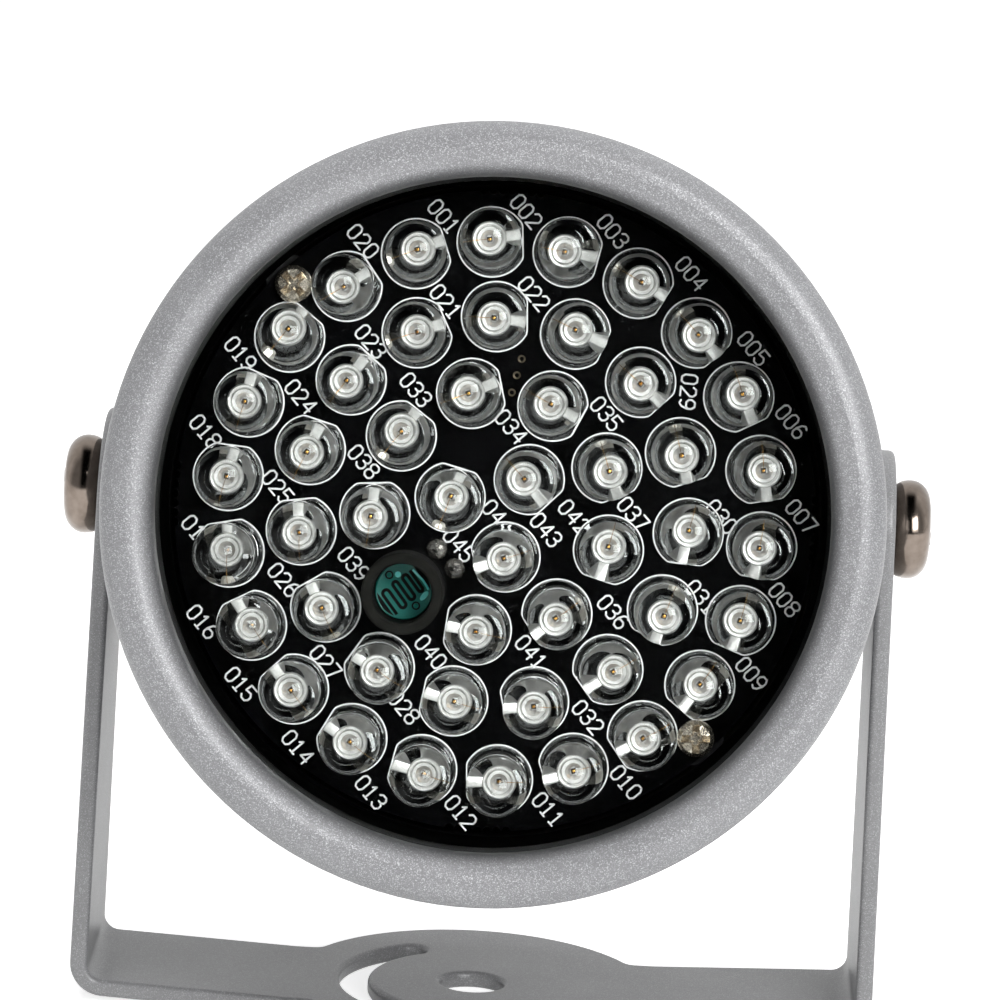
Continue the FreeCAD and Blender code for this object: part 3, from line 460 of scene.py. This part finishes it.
leadFrame = {
    "rim": 5.0, "cupRadius": 0.66, "groove": 0.55, "grooveDepth": 0.16, "mouth": 0.35,
    "floor": 0.15, "depth": 0.3,
    "chip": 0.2, "chipHeight": 0.09, "pad": 0.055,
    "armWidth": 0.4, "armReach": 1.6, "armDrop": 0.06, "armOverlap": 0.1,
    "postStart": 0.95, "postReach": 1.62, "postWidth": 0.46, "postDrop": 0.1, "postRound": 0.1,
    "edge": 0.04, "lowerEdge": (1.3, 1.2),  # the frame's edge, and how far down it is drawn
    "leadPitch": 1.27, "lead": 0.5, "leadTop": 3.75,
    "wire": 0.012, "wireRise": 0.3, "wireLanding": 0.25, "wireRows": 12,
}


def cupProfile():
    # Outside of the cup from its stem up to the rim, over a rim with a groove and down the cone to the floor
    c = leadFrame
    rim, cup, groove, mouth = c["rim"], c["cupRadius"], c["groove"], c["mouth"]
    return [(0.16, rim - 1.7), (0.2, rim - 0.8), (0.34, rim - 0.55), (cup - 0.1, rim - 0.2), (cup, rim - 0.12),
            (cup, rim - 0.04), (cup - 0.03, rim), (groove + 0.015, rim), (groove, rim - c["grooveDepth"]),
            (groove - 0.06, rim - c["grooveDepth"]), (groove - 0.075, rim - 0.02), (mouth, rim - 0.02),
            (mouth - 0.03, rim - 0.05), (mouth - 0.06, rim - 0.13), (mouth - 0.09, rim - 0.15),
            (c["floor"], rim - c["depth"]), (0.02, rim - c["depth"])]


def bondWire():
    # A thin tube from the chip's pad over to the post: height follows a half sine over the straight run
    c = leadFrame
    run = np.linspace(0, 1, c["wireRows"])
    x = -run * (c["postStart"] + c["wireLanding"])
    start, end = c["rim"] - c["depth"] + c["chipHeight"], c["rim"] - c["postDrop"]
    z = start + (end - start) * run + c["wireRise"] * np.sin(np.pi * run)
    turn = np.arange(6) * math.pi / 3
    slope = np.arctan2(np.gradient(z), np.gradient(x))
    side = c["wire"] * np.cos(turn)[None, :]
    lift = c["wire"] * np.sin(turn)[None, :]
    return np.stack([x[:, None] - lift * np.sin(slope)[:, None], side.repeat(c["wireRows"], 0),
                     z[:, None] + lift * np.cos(slope)[:, None]], -1)


def makeLeds():
    s, c = ledShape, leadFrame
    lens = turned(lensProfile(), s["columns"])
    lens[:s["flangeRows"]] = turned(lensProfile(), s["columns"], s["flat"])[:s["flangeRows"]]
    cup = turned(cupProfile(), 40)
    rim, edge, leadTop = c["rim"], c["edge"], c["leadTop"]
    armTop, postTop = rim - c["armDrop"], rim - c["postDrop"]
    foot, heel = c["lowerEdge"]
    inside = c["cupRadius"] - c["armOverlap"]
    arm = roundedPost(c["armReach"] - inside, c["armWidth"], edge,
                      [(armTop - foot, edge), (armTop - heel, 0), (armTop - edge, 0), (armTop, edge)])
    arm += [(c["armReach"] + inside) / 2, 0, 0]
    post = roundedPost(c["postReach"] - c["postStart"], c["postWidth"], c["postRound"],
                       [(postTop - foot, edge), (postTop - heel, 0), (postTop - 0.12, 0),
                        (postTop, c["postRound"])])
    post -= [(c["postReach"] + c["postStart"]) / 2, 0, 0]
    leg = roundedPost(c["lead"], c["lead"], 0.06, [(0.0, 0.02), (0.05, 0), (leadTop - 0.05, 0), (leadTop, 0.02)])
    legs = [leg + [side * c["leadPitch"], 0, 0] for side in (-1, 1)]
    floor = rim - c["depth"]
    chipTop = floor + c["chipHeight"]
    chip = roundedPost(c["chip"], c["chip"], 0.01, [(floor, 0), (chipTop - 0.01, 0), (chipTop, 0.01)], 8)
    pad = turned([(c["pad"], chipTop), (c["pad"], chipTop + 0.02), (c["pad"] * 0.6, chipTop + 0.035)], 8)
    wire = bondWire()
    for name, ring in ledRings.items():
        places, directions = ledPlaces(ring)
        count = len(places)
        lean = np.radians(chance.normal(0, s["lean"], (count, 2))).clip(-s["leanLimit"], s["leanLimit"])
        turn = chance.normal(0, s["turn"], count).clip(-s["turnLimit"], s["turnLimit"])
        placed = setLeds(lens, places, directions, lean, turn * s["lensTurn"])
        lenses = addRings("clear_lenses_" + name, placed, clearEpoxy)
        lenses.visible_shadow = False  # as for the glass
        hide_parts("infrared_leds_" + name)
        inner = lean * s["innerLean"] + np.radians(chance.normal(0, s["innerSpread"], (count, 2)))
        fittings = {
            "reflector_cups_": ([cup], leadSilver), "anvils_": ([arm], leadSilver),
            "wire_posts_": ([post, *legs], postSilver), "emitter_chips_": ([chip], chipDark),
            "bond_pads_": ([pad], gold), "bond_wires_": ([wire], gold),
        }
        for title, (shapes, material) in fittings.items():
            copies = np.concatenate([setLeds(shape, places, directions, inner, turn) for shape in shapes])
            addRings(title + name, copies, material)


makeLeds()
print("lamps made")


# The board's print: a circle with a flat round each lamp and plain numbers beside them

printShape = {
    "base": 0.002, "height": 0.03, "radius": 2.91, "line": 0.12, "flat": 2.56, "columns": 72,
    "textHeight": 1.3, "textWidth": 0.74, "textStep": 1.04, "stroke": 0.155, "slope": -47.0,
    "downward": (29, -93.0),  # the one number that reads straight down, and its slope
}
digitStrokes = {  # each stroke is a line through points on a field one wide and one high
    "0": [[(0, 0.2), (0, 0.8), (0.25, 1), (0.75, 1), (1, 0.8), (1, 0.2), (0.75, 0), (0.25, 0), (0, 0.2)]],
    "1": [[(0.2, 0.8), (0.5, 1), (0.5, 0)], [(0.2, 0), (0.8, 0)]],
    "2": [[(0, 0.82), (0.25, 1), (0.75, 1), (1, 0.82), (1, 0.62), (0, 0), (1, 0)]],
    "3": [[(0, 0.85), (0.25, 1), (0.75, 1), (1, 0.85), (1, 0.65), (0.75, 0.53), (0.4, 0.53)],
          [(0.75, 0.53), (1, 0.4), (1, 0.18), (0.75, 0), (0.25, 0), (0, 0.15)]],
    "4": [[(0.8, 0), (0.8, 1), (0, 0.32), (1, 0.32)]],
    "5": [[(0.95, 1), (0.05, 1), (0, 0.55), (0.7, 0.6), (1, 0.42), (1, 0.18), (0.75, 0), (0.25, 0), (0, 0.15)]],
    "6": [[(0.9, 0.9), (0.6, 1), (0.25, 0.85), (0, 0.5), (0, 0.2), (0.25, 0), (0.75, 0), (1, 0.2), (1, 0.4),
           (0.75, 0.55), (0.25, 0.55), (0, 0.42)]],
    "7": [[(0, 1), (1, 1), (0.4, 0)]],
    "8": [[(0.25, 0.53), (0, 0.68), (0, 0.85), (0.25, 1), (0.75, 1), (1, 0.85), (1, 0.68), (0.75, 0.53),
           (0.25, 0.53), (0, 0.38), (0, 0.16), (0.25, 0), (0.75, 0), (1, 0.16), (1, 0.38), (0.75, 0.53)]],
    "9": [[(0.1, 0.1), (0.4, 0), (0.75, 0.15), (1, 0.5), (1, 0.8), (0.75, 1), (0.25, 1), (0, 0.8), (0, 0.6),
           (0.25, 0.45), (0.75, 0.45), (1, 0.58)]],
}
numberPlaces = {  # centre of each number: distance from the board's middle and degrees, ring by ring
    "outer": [(24.89, 103.0), (25.08, 87.2), (25.27, 70.3), (25.65, 53.6), (25.41, 35.4), (25.77, 20.0),
              (25.52, 2.2), (25.21, -13.8), (25.31, -29.2), (25.11, -61.0), (25.26, -76.7), (25.28, -93.3),
              (25.64, -110.6), (25.66, -126.7), (25.65, -142.6), (26.07, -156.1), (24.84, -172.8),
              (24.99, 167.8), (24.91, 151.4), (25.0, 119.2)],
    "second": [(17.92, 106.3), (18.41, 83.0), (17.5, 129.3), (18.77, 152.6), (18.21, 176.8), (18.51, -158.8),
               (18.9, -135.1), (18.02, -111.7), (18.92, 34.9), (18.86, 1.8), (18.61, -19.4), (18.84, -62.5)],
    "third": [(12.07, 126.2), (7.17, 82.4), (12.32, 44.4), (12.94, -37.2), (11.52, 2.1), (11.67, 162.5),
              (12.55, -156.3), (12.89, -111.3), (12.12, -72.4)],
    "inner": [(6.62, -0.8), (4.54, -16.8), (0.53, -57.4), (4.1, -133.7)],
}


def strokeOutlines(text, centre, slope):
    # Each straight part of a stroke is a bar with round ends: two half circles of points, one at each end
    p = printShape
    slope = math.radians(slope)
    along, across = np.array([math.cos(slope), math.sin(slope)]), np.array([-math.sin(slope), math.cos(slope)])
    bars = []
    for number, digit in enumerate(text):
        left = (number - (len(text) - 1) / 2) * p["textStep"] - p["textWidth"] / 2
        for stroke in digitStrokes[digit]:
            line = np.array(stroke) * [p["textWidth"], p["textHeight"]] + [left, -p["textHeight"] / 2]
            line = centre + line[:, :1] * along + line[:, 1:] * across
            bars += list(zip(line[:-1], line[1:]))
    bars = np.array(bars)
    reach = bars[:, 1] - bars[:, 0]
    facing = np.arctan2(reach[:, 1], reach[:, 0])[:, None]
    halfTurn = np.linspace(-math.pi / 2, math.pi / 2, 6)[None, :]
    ends = []
    for end, turn in ((1, 0), (0, math.pi)):
        angle = facing + turn + halfTurn
        ends.append(bars[:, end][:, None, :] + p["stroke"] / 2 * np.stack([np.cos(angle), np.sin(angle)], -1))
    outline = np.concatenate(ends, 1)
    levels = [np.concatenate([outline, np.full((*outline.shape[:2], 1), z)], -1)
              for z in (ledShape["board"] + p["base"], ledShape["board"] + p["height"])]
    return np.stack(levels, 1)


def makePrint():
    p = printShape
    half = p["line"] / 2
    inside, outside = p["radius"] - half, p["radius"] + half
    inner = turned([(inside, p["base"]), (inside, p["height"])], p["columns"], p["flat"] - half)
    outer = turned([(outside, p["height"]), (outside, p["base"])], p["columns"], p["flat"] + half)
    circle = np.concatenate([inner, outer])[::-1]
    circles = []
    for ring in ledRings.values():
        places, directions = ledPlaces(ring)
        none = np.zeros((len(places), 2))
        circles.append(setLeds(circle, places, directions, none, none[:, 0]))
    addRings("printed_circles", np.concatenate(circles), printWhite, closed=True)
    centres = [polar(radius, degrees) for group in numberPlaces.values() for radius, degrees in group]
    odd, steep = p["downward"]
    bars = [strokeOutlines(f"{number:03d}", centre, steep if number == odd else p["slope"])
            for number, centre in enumerate(centres, 1)]
    addRings("printed_numbers", np.concatenate(bars), printWhite)


makePrint()
print("print made")


# Screws: pan heads with a cross recess

pivotScrew = {"shank": 2.0, "tipEdge": 0.4, "head": 4.25, "height": 3.2, "half": 0.5, "reach": 2.1, "depth": 1.7,
              "turn": 18.0, "rim": (0.75, 1.3), "crown": (1.85, 1.7), "crownStart": 1.4}
boardScrew = {"radius": 25.25, "degrees": (134.66, 314.66), "turns": (44.0, 2.0), "shank": 0.85, "tipEdge": 0.2,
              "head": 1.56, "height": 1.15, "length": 6.5, "half": 0.3, "reach": 1.16, "depth": 0.95,
              "seatEdge": 0.12, "crown": (0.75, 0.66), "crownStart": 0.4}
# the recess: shares of its own width, reach and depth, from its softened edge down to its floor
recessShape = {"soften": 0.12, "wall": 0.8, "wallDepth": 0.55, "floorWidth": 0.55, "floorReach": 0.45}


def crossAngles(half, reach):
    # Directions round a cross: close together at the corners of its four arms
    corner = math.degrees(math.atan2(half, reach))
    arm = np.concatenate([np.linspace(-45, -corner - 3, 6), np.array([-1, -0.5, 0, 0.5, 1]) * corner,
                          np.linspace(corner + 3, 45, 6)[:-1]])
    return np.radians((np.arange(4)[:, None] * 90 + arm[None, :]).ravel())


def crossEdge(angle, half, reach):
    # Distance from the middle to the edge of a cross with arms 2 x half wide and reach long
    nearest = (angle + math.pi / 4) % (math.pi / 2) - math.pi / 4
    return np.minimum(reach / np.cos(nearest), half / np.maximum(np.abs(np.sin(nearest)), 1e-4))


def screwRings(profile, crown, half, reach, depth, turn):
    # Turned rings up to the crown, then the recess: its edge on the crown and tapered walls down to its floor
    shape = recessShape
    angle = crossAngles(half, reach)
    profile = np.asarray(profile, float)
    radius = [np.full(len(angle), r) for r in profile[:, 0]]
    height = [np.full(len(angle), h) for h in profile[:, 1]]
    edge = crossEdge(angle, half, reach)
    soften = half * shape["soften"]
    wall = crossEdge(angle, half * shape["wall"], reach * shape["wall"])
    floor = crossEdge(angle, half * shape["floorWidth"], reach * shape["floorReach"])
    for distance, level in ((edge + soften, crown), (edge, crown - soften),
                            (wall, crown - depth * shape["wallDepth"]), (floor, crown - depth)):
        radius.append(distance)
        height.append(np.full(len(angle), level))
    radius, height = np.array(radius), np.array(height)
    angle = angle + math.radians(turn)
    return np.stack([radius * np.cos(angle), radius * np.sin(angle), height], -1)


def quarterRound(radius, height, wide, high, start, end, count):
    # Points on a quarter of an ellipse about (radius, height)
    angle = np.radians(np.linspace(start, end, count))
    return list(zip(radius + wide * np.cos(angle), height + high * np.sin(angle)))


def makePivotScrews():
    # A full mushroom head: a rim that follows a quarter ellipse out from the seat, then another one in to the crown
    p = pivotScrew
    shank, head, tipEdge = p["shank"], p["head"], p["tipEdge"]
    for side, name in ((1, "right"), (-1, "left")):
        low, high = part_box("pivot_screw_" + name)
        tip, crown = sorted((abs(low[0]) / mm, abs(high[0]) / mm))
        seat = crown - p["height"]
        profile = [(shank - tipEdge, tip), (shank, tip + tipEdge), (shank, seat), (head - 0.85, seat)]
        wide, high = p["rim"]
        profile += quarterRound(head - wide, seat + high, wide, high, -80, 0, 7)
        wide, high = p["crown"]
        profile += quarterRound(head - wide, seat + p["crownStart"], wide, high, 0, 84, 12)
        profile += [(p["reach"] + 0.1, crown - 0.06)]
        rings = screwRings(profile, crown - 0.03, p["half"], p["reach"], p["depth"], p["turn"])
        x, y, z = rings[..., 0], rings[..., 1], rings[..., 2]
        rings = np.stack([z, x, y], -1) if side > 0 else np.stack([-z, x, -y], -1)
        piece = addRings("cross_head_pivot_screw_" + name, rings, nickel, sharp=50)
        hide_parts("pivot_screw_" + name)


def makeBoardScrews():
    # A low pan head: from its edge a flat quarter ellipse rises to the crown
    p, board = boardScrew, ledShape["board"]
    shank, head, tip, seatEdge = p["shank"], p["head"], board - p["length"], p["seatEdge"]
    crown = board + p["height"]
    profile = [(shank - p["tipEdge"], tip), (shank, tip + p["tipEdge"]), (shank, board), (head - seatEdge, board),
               (head, board + seatEdge)]
    wide, high = p["crown"]
    profile += quarterRound(head - wide, board + p["crownStart"], wide, high, 0, 50, 7)
    profile += [(p["reach"] + 0.06, crown - 0.14)]
    made = []
    for degrees, turn in zip(p["degrees"], p["turns"]):
        rings = screwRings(profile, crown - 0.1, p["half"], p["reach"], p["depth"], turn)
        made.append(rings + [*polar(p["radius"], degrees), 0])
    piece = addRings("cross_head_board_screws", np.array(made), warmNickel, sharp=35)
    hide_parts("board_screws")


makePivotScrews()
makeBoardScrews()
print("screws made")


# The sensor: a lacquered ceramic disc with a winding track between two wire ends

sensorDisc = {
    "centre": (-7.16, -6.98), "radius": 2.4, "back": 13.5, "face": 15.22, "bead": 0.03,
    "legTurn": -51.1, "trackWidth": 0.28, "trackHeight": 0.012,
    "legs": (-1.59, -0.99, -0.46, 0.01, 0.52, 1.02, 1.42),
    "ends": (1.25, -0.98, 1.14, -1.08, 1.01, -1.05, 0.88, -1.1),
    # spot, streak and patch: painted highlights, placed where glints lie on the lacquer
    "wireEnds": ((-1.27, 1.27), (1.08, -1.16)), "wireEnd": 0.36, "spot": (-0.55, 1.35), "spotRadius": 0.27,
    "streak": ((0.65, 1.81), (1.08, 1.4), (1.51, 1.02), (1.83, 0.59), (2.05, 0.22)), "streakWidth": 0.18,
    "patch": (1.72, -0.31), "patchSize": (1.0, 0.46), "patchTurn": 52.0,
    # where the dark slices start: the lower-left one is the cell's own dark side, the upper-right one painted shadow
    "darkChord": 1.86, "darkReach": 2.3, "darkLift": 0.01,
    "sink": 0.02, "brightLift": 0.03,  # how far the marks go into the face and stand out of it
    "ringWidth": 0.13, "ringHeight": 0.05,
}


def trackLine():
    # The winding track's centre line: straight legs side by side, joined by half circles at alternate ends.
    # Along a leg is the first number of each point, across the legs the second
    d = sensorDisc
    legs, ends = d["legs"], d["ends"]
    turn = np.linspace(0, math.pi, 9)
    points = [(ends[0], legs[0])]
    for before, after, end in zip(legs[:-1], legs[1:], ends[1:-1]):
        half = (after - before) / 2
        bulge = math.copysign(half, end)
        points += list(zip(end - bulge + bulge * np.sin(turn), before + half - half * np.cos(turn)))
    return np.array([*points, (ends[-1], legs[-1])])


def ribbon(line, width, low, high):
    # A flat strip of even width along a line: at each point a small upright rectangle square to the line
    ahead = np.gradient(line, axis=0)
    ahead /= np.linalg.norm(ahead, axis=1)[:, None]
    side = np.stack([-ahead[:, 1], ahead[:, 0]], -1) * width / 2
    corners = [np.concatenate([line + shift, np.full((len(line), 1), level)], -1)
               for shift, level in ((side, low), (side, high), (-side, high), (-side, low))]
    return np.stack(corners, 1)


def leaningDisc(centre, size, turn, low, high):
    # A flat ellipse turned in its own plane
    rings = turned([(0.5, low), (0.46, high), (0.02, high)], 24) * [size[0], size[1], 1]
    a = math.radians(turn)
    x, y = rings[..., :1], rings[..., 1:2]
    across = x * math.cos(a) - y * math.sin(a) + centre[0]
    upward = x * math.sin(a) + y * math.cos(a) + centre[1]
    return np.concatenate([across, upward, rings[..., 2:]], -1)


def makeSensor():
    d = sensorDisc
    centre = np.array([*d["centre"], 0.0])
    edge, face = d["radius"], d["face"]
    base, raised = face - d["sink"], face + d["brightLift"]
    profile = [(edge - 0.1, d["back"]), (edge, d["back"] + 0.1), (edge, face - 0.15), (edge - 0.06, face),
               (edge - 0.12, face + d["bead"]), (edge - 0.2, face), (0.5, face), (0.02, face)]
    disc = addRings("sensor_disc", turned(profile, 64) + centre, cellTeal)
    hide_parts("photocell")
    turn = math.radians(d["legTurn"])
    along, across = np.array([math.cos(turn), math.sin(turn)]), np.array([-math.sin(turn), math.cos(turn)])
    line = trackLine()
    line = line[:, :1] * along + line[:, 1:] * across
    top = face + d["trackHeight"]
    track = addRings("sensor_track", ribbon(line, d["trackWidth"], base, top) + centre, trackDark)
    # two dark slices of the disc, each beyond a chord: the lower-left one is the cell's dark side, the upper-right
    # one is painted shadow of the sleeve's wall
    reach = d["darkReach"]
    halfAngle = math.degrees(math.acos(d["darkChord"] / reach))
    arc = polar(reach, halfAngle * np.linspace(-1, 1, 20)) @ [across, -along]
    darkSideAndShadow = [np.stack([np.concatenate([half * arc, np.full((len(arc), 1), level)], -1)
                       for level in (base, face + d["darkLift"])]) for half in (1, -1)]
    darkSideAndShadow = addRings("sensor_dark_side_and_painted_shadow", np.array(darkSideAndShadow) + centre, trackDark)
    # Painted highlights: the streak, the patch and the spot are bright cyan marks standing in for glints on the
    # cell's lacquer
    streak = ribbon(np.array(d["streak"]), d["streakWidth"], base, raised)
    streak = addRings("sensor_painted_glint_streak", streak + centre, cyanGlintPaint)
    patch = leaningDisc(d["patch"], d["patchSize"], d["patchTurn"], base, raised)
    patch = addRings("sensor_painted_glint_patch", patch + centre, cyanGlintPaint)
    outer, ringTop = d["wireEnd"], face + d["ringHeight"]
    inner = outer - d["ringWidth"]
    ringProfile = [(inner, face + 0.01), (outer, face), (outer, ringTop), (inner, ringTop)]
    ends = [turned(ringProfile, 20) + [*(centre[:2] + place), 0.0] for place in d["wireEnds"]]
    ends = addRings("sensor_wire_rings", np.array(ends), trackDark, closed=True)
    dome = [(0.2, base), (0.19, face + 0.05), (0.12, face + 0.1), (0.02, face + 0.12)]
    wires = [turned(dome, 16) + [*(centre[:2] + place), 0.0] for place in d["wireEnds"]]
    wires = addRings("sensor_wires", np.array(wires), cellTeal)
    spotDome = [(d["spotRadius"], base), (d["spotRadius"] - 0.03, raised), (0.1, face + 0.05), (0.02, face + 0.05)]
    spot = addRings("sensor_painted_glint_spot", turned(spotDome, 24) + [*(centre[:2] + d["spot"]), 0.0], cyanGlintPaint)


makeSensor()

# The joints beside the sensor: a flux-dark mound of solder round each cut wire

frontJoints = {"places": ((-4.65, -3.42), (-3.1, -4.94)), "foot": 0.88, "height": 0.5, "wire": 0.2, "stub": 0.3}


def makeFrontJoints():
    # Height over the board follows a quarter ellipse from the foot in to the wire
    p, board = frontJoints, ledShape["board"]
    mound = quarterRound(p["wire"], board + 0.02, p["foot"] - p["wire"], p["height"], 0, 84, 10)
    top = board + p["height"] + p["stub"]
    profile = [(p["foot"] - 0.05, board), *mound, (p["wire"], board + p["height"] + 0.06), (p["wire"], top - 0.05),
               (p["wire"] - 0.06, top), (0.03, top + 0.02)]
    made = [turned(profile, 28) + [*place, 0.0] for place in p["places"]]
    piece = addRings("fluxed_wire_joints", np.array(made), fluxedSolder, sharp=50)
    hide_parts("photocell_solder_joints")


makeFrontJoints()

# Plated through holes in the board, each a raised ring of metal

platedHoles = {"places": ((1.53, 12.78), (1.2, 11.4), (0.87, 9.95)), "inner": 0.17, "outer": 0.33,
               "base": 0.002, "height": 0.03}


def makePlatedHoles():
    p, board = platedHoles, ledShape["board"]
    base, top = board + p["base"], board + p["height"]
    ring = [(p["outer"], base), (p["outer"], board + p["height"] * 0.6), (p["inner"] + 0.06, top), (p["inner"], base)]
    made = [turned(ring, 20) + [*place, 0.0] for place in p["places"]]
    addRings("plated_holes", np.array(made), dullGold, closed=True)


makePlatedHoles()
print("sensor and joints made")


# A thin matt lining of lacquer inside the neck, from the board up to the glass's seal

neckLiner = {"radius": 27.18, "thick": 0.05, "low": 13.6, "high": 22.9}


def makeNeckLiner():
    p = neckLiner
    inner, outer = p["radius"] - p["thick"], p["radius"]
    ring = turned([(outer, p["low"]), (outer, p["high"]), (inner, p["high"]), (inner, p["low"])], 128)
    addRings("neck_lining", ring, linerBlack, closed=True)


makeNeckLiner()


# Studio: pale floor and backdrop, soft lamps

studio = {
    "sky": 0.15, "softWall": 0.35, "paperGlow": 0.72, "paperFibre": 0.002, "floorHalf": 3,
    # the dark gap's soft borders and the wall's fade, as parts of a direction's length
    "gapSides": (0.2, 0.42), "gapFront": (0.1, 0.45), "gapFoot": (-0.28, -0.12), "wallFade": (-0.35, 0.15),
}


def makeWorld():
    world = bpy.data.worlds.new("studio")
    bpy.context.scene.world = world
    world.use_nodes = True
    tree = world.node_tree
    tree.nodes.clear()
    path = addNode(tree, "ShaderNodeLightPath").outputs
    place = addNode(tree, "ShaderNodeTexCoord").outputs["Generated"]
    axes = addNode(tree, "ShaderNodeSeparateXYZ", links={"Vector": place}).outputs
    # metal and glass mirror a white studio with a dark gap in it: a band from the front up over the top
    sideways = addNode(tree, "ShaderNodeMath", {"operation": "ABSOLUTE"}, {0: axes[0]})
    low, high = studio["gapSides"]
    narrow = addNode(tree, "ShaderNodeMapRange", {1: low, 2: high, 3: 1.0, 4: 0.0}, {0: sideways.outputs[0]})
    low, high = studio["gapFront"]
    front = addNode(tree, "ShaderNodeMapRange", {1: low, 2: high, 3: 1.0, 4: 0.0}, {0: axes[1]})
    low, high = studio["gapFoot"]
    above = addNode(tree, "ShaderNodeMapRange", {1: low, 2: high, 3: 0.0, 4: 1.0}, {0: axes[2]})
    gap = addNode(tree, "ShaderNodeMath", {"operation": "MULTIPLY"}, {0: narrow.outputs[0], 1: front.outputs[0]})
    gap = addNode(tree, "ShaderNodeMath", {"operation": "MULTIPLY"}, {0: gap.outputs[0], 1: above.outputs[0]})
    low, high = studio["wallFade"]
    beside = addNode(tree, "ShaderNodeMapRange", {1: low, 2: high, 3: studio["softWall"], 4: 1.0}, {0: axes[1]})
    mirrored = addNode(tree, "ShaderNodeMapRange", {4: 0.0}, {0: gap.outputs[0], 3: beside.outputs[0]})
    seen = addNode(tree, "ShaderNodeMath", {"operation": "MAXIMUM"},
                   {0: path["Is Glossy Ray"], 1: path["Is Transmission Ray"]})
    strength = addNode(tree, "ShaderNodeMapRange", {3: studio["sky"]}, {0: seen.outputs[0], 4: mirrored.outputs[0]})
    strength = addNode(tree, "ShaderNodeMath", {"operation": "MAXIMUM"},
                       {0: path["Is Camera Ray"], 1: strength.outputs[0]})
    light = addNode(tree, "ShaderNodeBackground", {"Color": (1, 1, 1, 1)}, {"Strength": strength.outputs[0]})
    addNode(tree, "ShaderNodeOutputWorld", links={"Surface": light.outputs[0]})


studioLights = {  # from the pivot, in metres: place, size, power, and whether metal mirrors the lamp
    "key_right": {"place": (0.43, -0.81, 0.41), "size": (0.5, 0.5), "power": 7.6, "mirrored": True},
    "fill_left": {"place": (-0.57, -0.8, 0.2), "size": (0.5, 0.5), "power": 1.4, "mirrored": False},
    "top": {"place": (0.0, 0.05, 0.9), "size": (0.8, 0.6), "power": 6.0, "mirrored": False},
}


def makeLights():
    for name, lamp in studioLights.items():
        data = bpy.data.lights.new(name, "AREA")
        data.shape = "RECTANGLE"
        data.size, data.size_y = lamp["size"]
        data.energy = lamp["power"]
        light = bpy.data.objects.new(name, data)
        bpy.context.scene.collection.objects.link(light)
        light.location = np.array(lamp["place"]) + pivot * mm
        light.rotation_mode = "QUATERNION"
        light.rotation_quaternion = (-Vector(lamp["place"])).to_track_quat("-Z", "Y")
        light.visible_glossy = lamp["mirrored"]


def makeFloor():
    # Pale paper: white to the camera, with the object's shadow still on it
    material = bpy.data.materials.new("pale_paper_floor")
    material.use_nodes = True
    tree = material.node_tree
    tree.nodes.clear()
    path = addNode(tree, "ShaderNodeLightPath").outputs
    fibre = addNode(tree, "ShaderNodeTexNoise", {"Scale": 1 / studio["paperFibre"], "Detail": 3.0},
                    {"Vector": addNode(tree, "ShaderNodeTexCoord").outputs["Object"]})
    colour = addNode(tree, "ShaderNodeMix", {"data_type": "RGBA", 6: linear("#e4e4e4"), 7: linear("#efefef")},
                     {0: fibre.outputs[0]})
    matt = addNode(tree, "ShaderNodeBsdfDiffuse", links={"Color": colour.outputs[2]})
    glow = addNode(tree, "ShaderNodeEmission", {"Strength": studio["paperGlow"]})
    both = addNode(tree, "ShaderNodeAddShader", links={0: matt.outputs[0], 1: glow.outputs[0]})
    seen = addNode(tree, "ShaderNodeMath", {"operation": "MAXIMUM"},
                   {0: path["Is Camera Ray"], 1: path["Is Glossy Ray"]})
    seen = addNode(tree, "ShaderNodeMath", {"operation": "MAXIMUM"},
                   {0: seen.outputs[0], 1: path["Is Transmission Ray"]})
    paper = addNode(tree, "ShaderNodeMixShader", links={0: seen.outputs[0], 1: matt.outputs[0], 2: both.outputs[0]})
    addNode(tree, "ShaderNodeOutputMaterial", links={"Surface": paper.outputs[0]})
    mesh = bpy.data.meshes.new("floor")
    far = studio["floorHalf"]
    mesh.from_pydata([(-far, -far, 0), (far, -far, 0), (far, far, 0), (-far, far, 0)], [], [(0, 1, 2, 3)])
    mesh.materials.append(material)
    floor = bpy.data.objects.new("floor", mesh)
    bpy.context.scene.collection.objects.link(floor)


makeWorld()
makeLights()
makeFloor()
print("studio made")
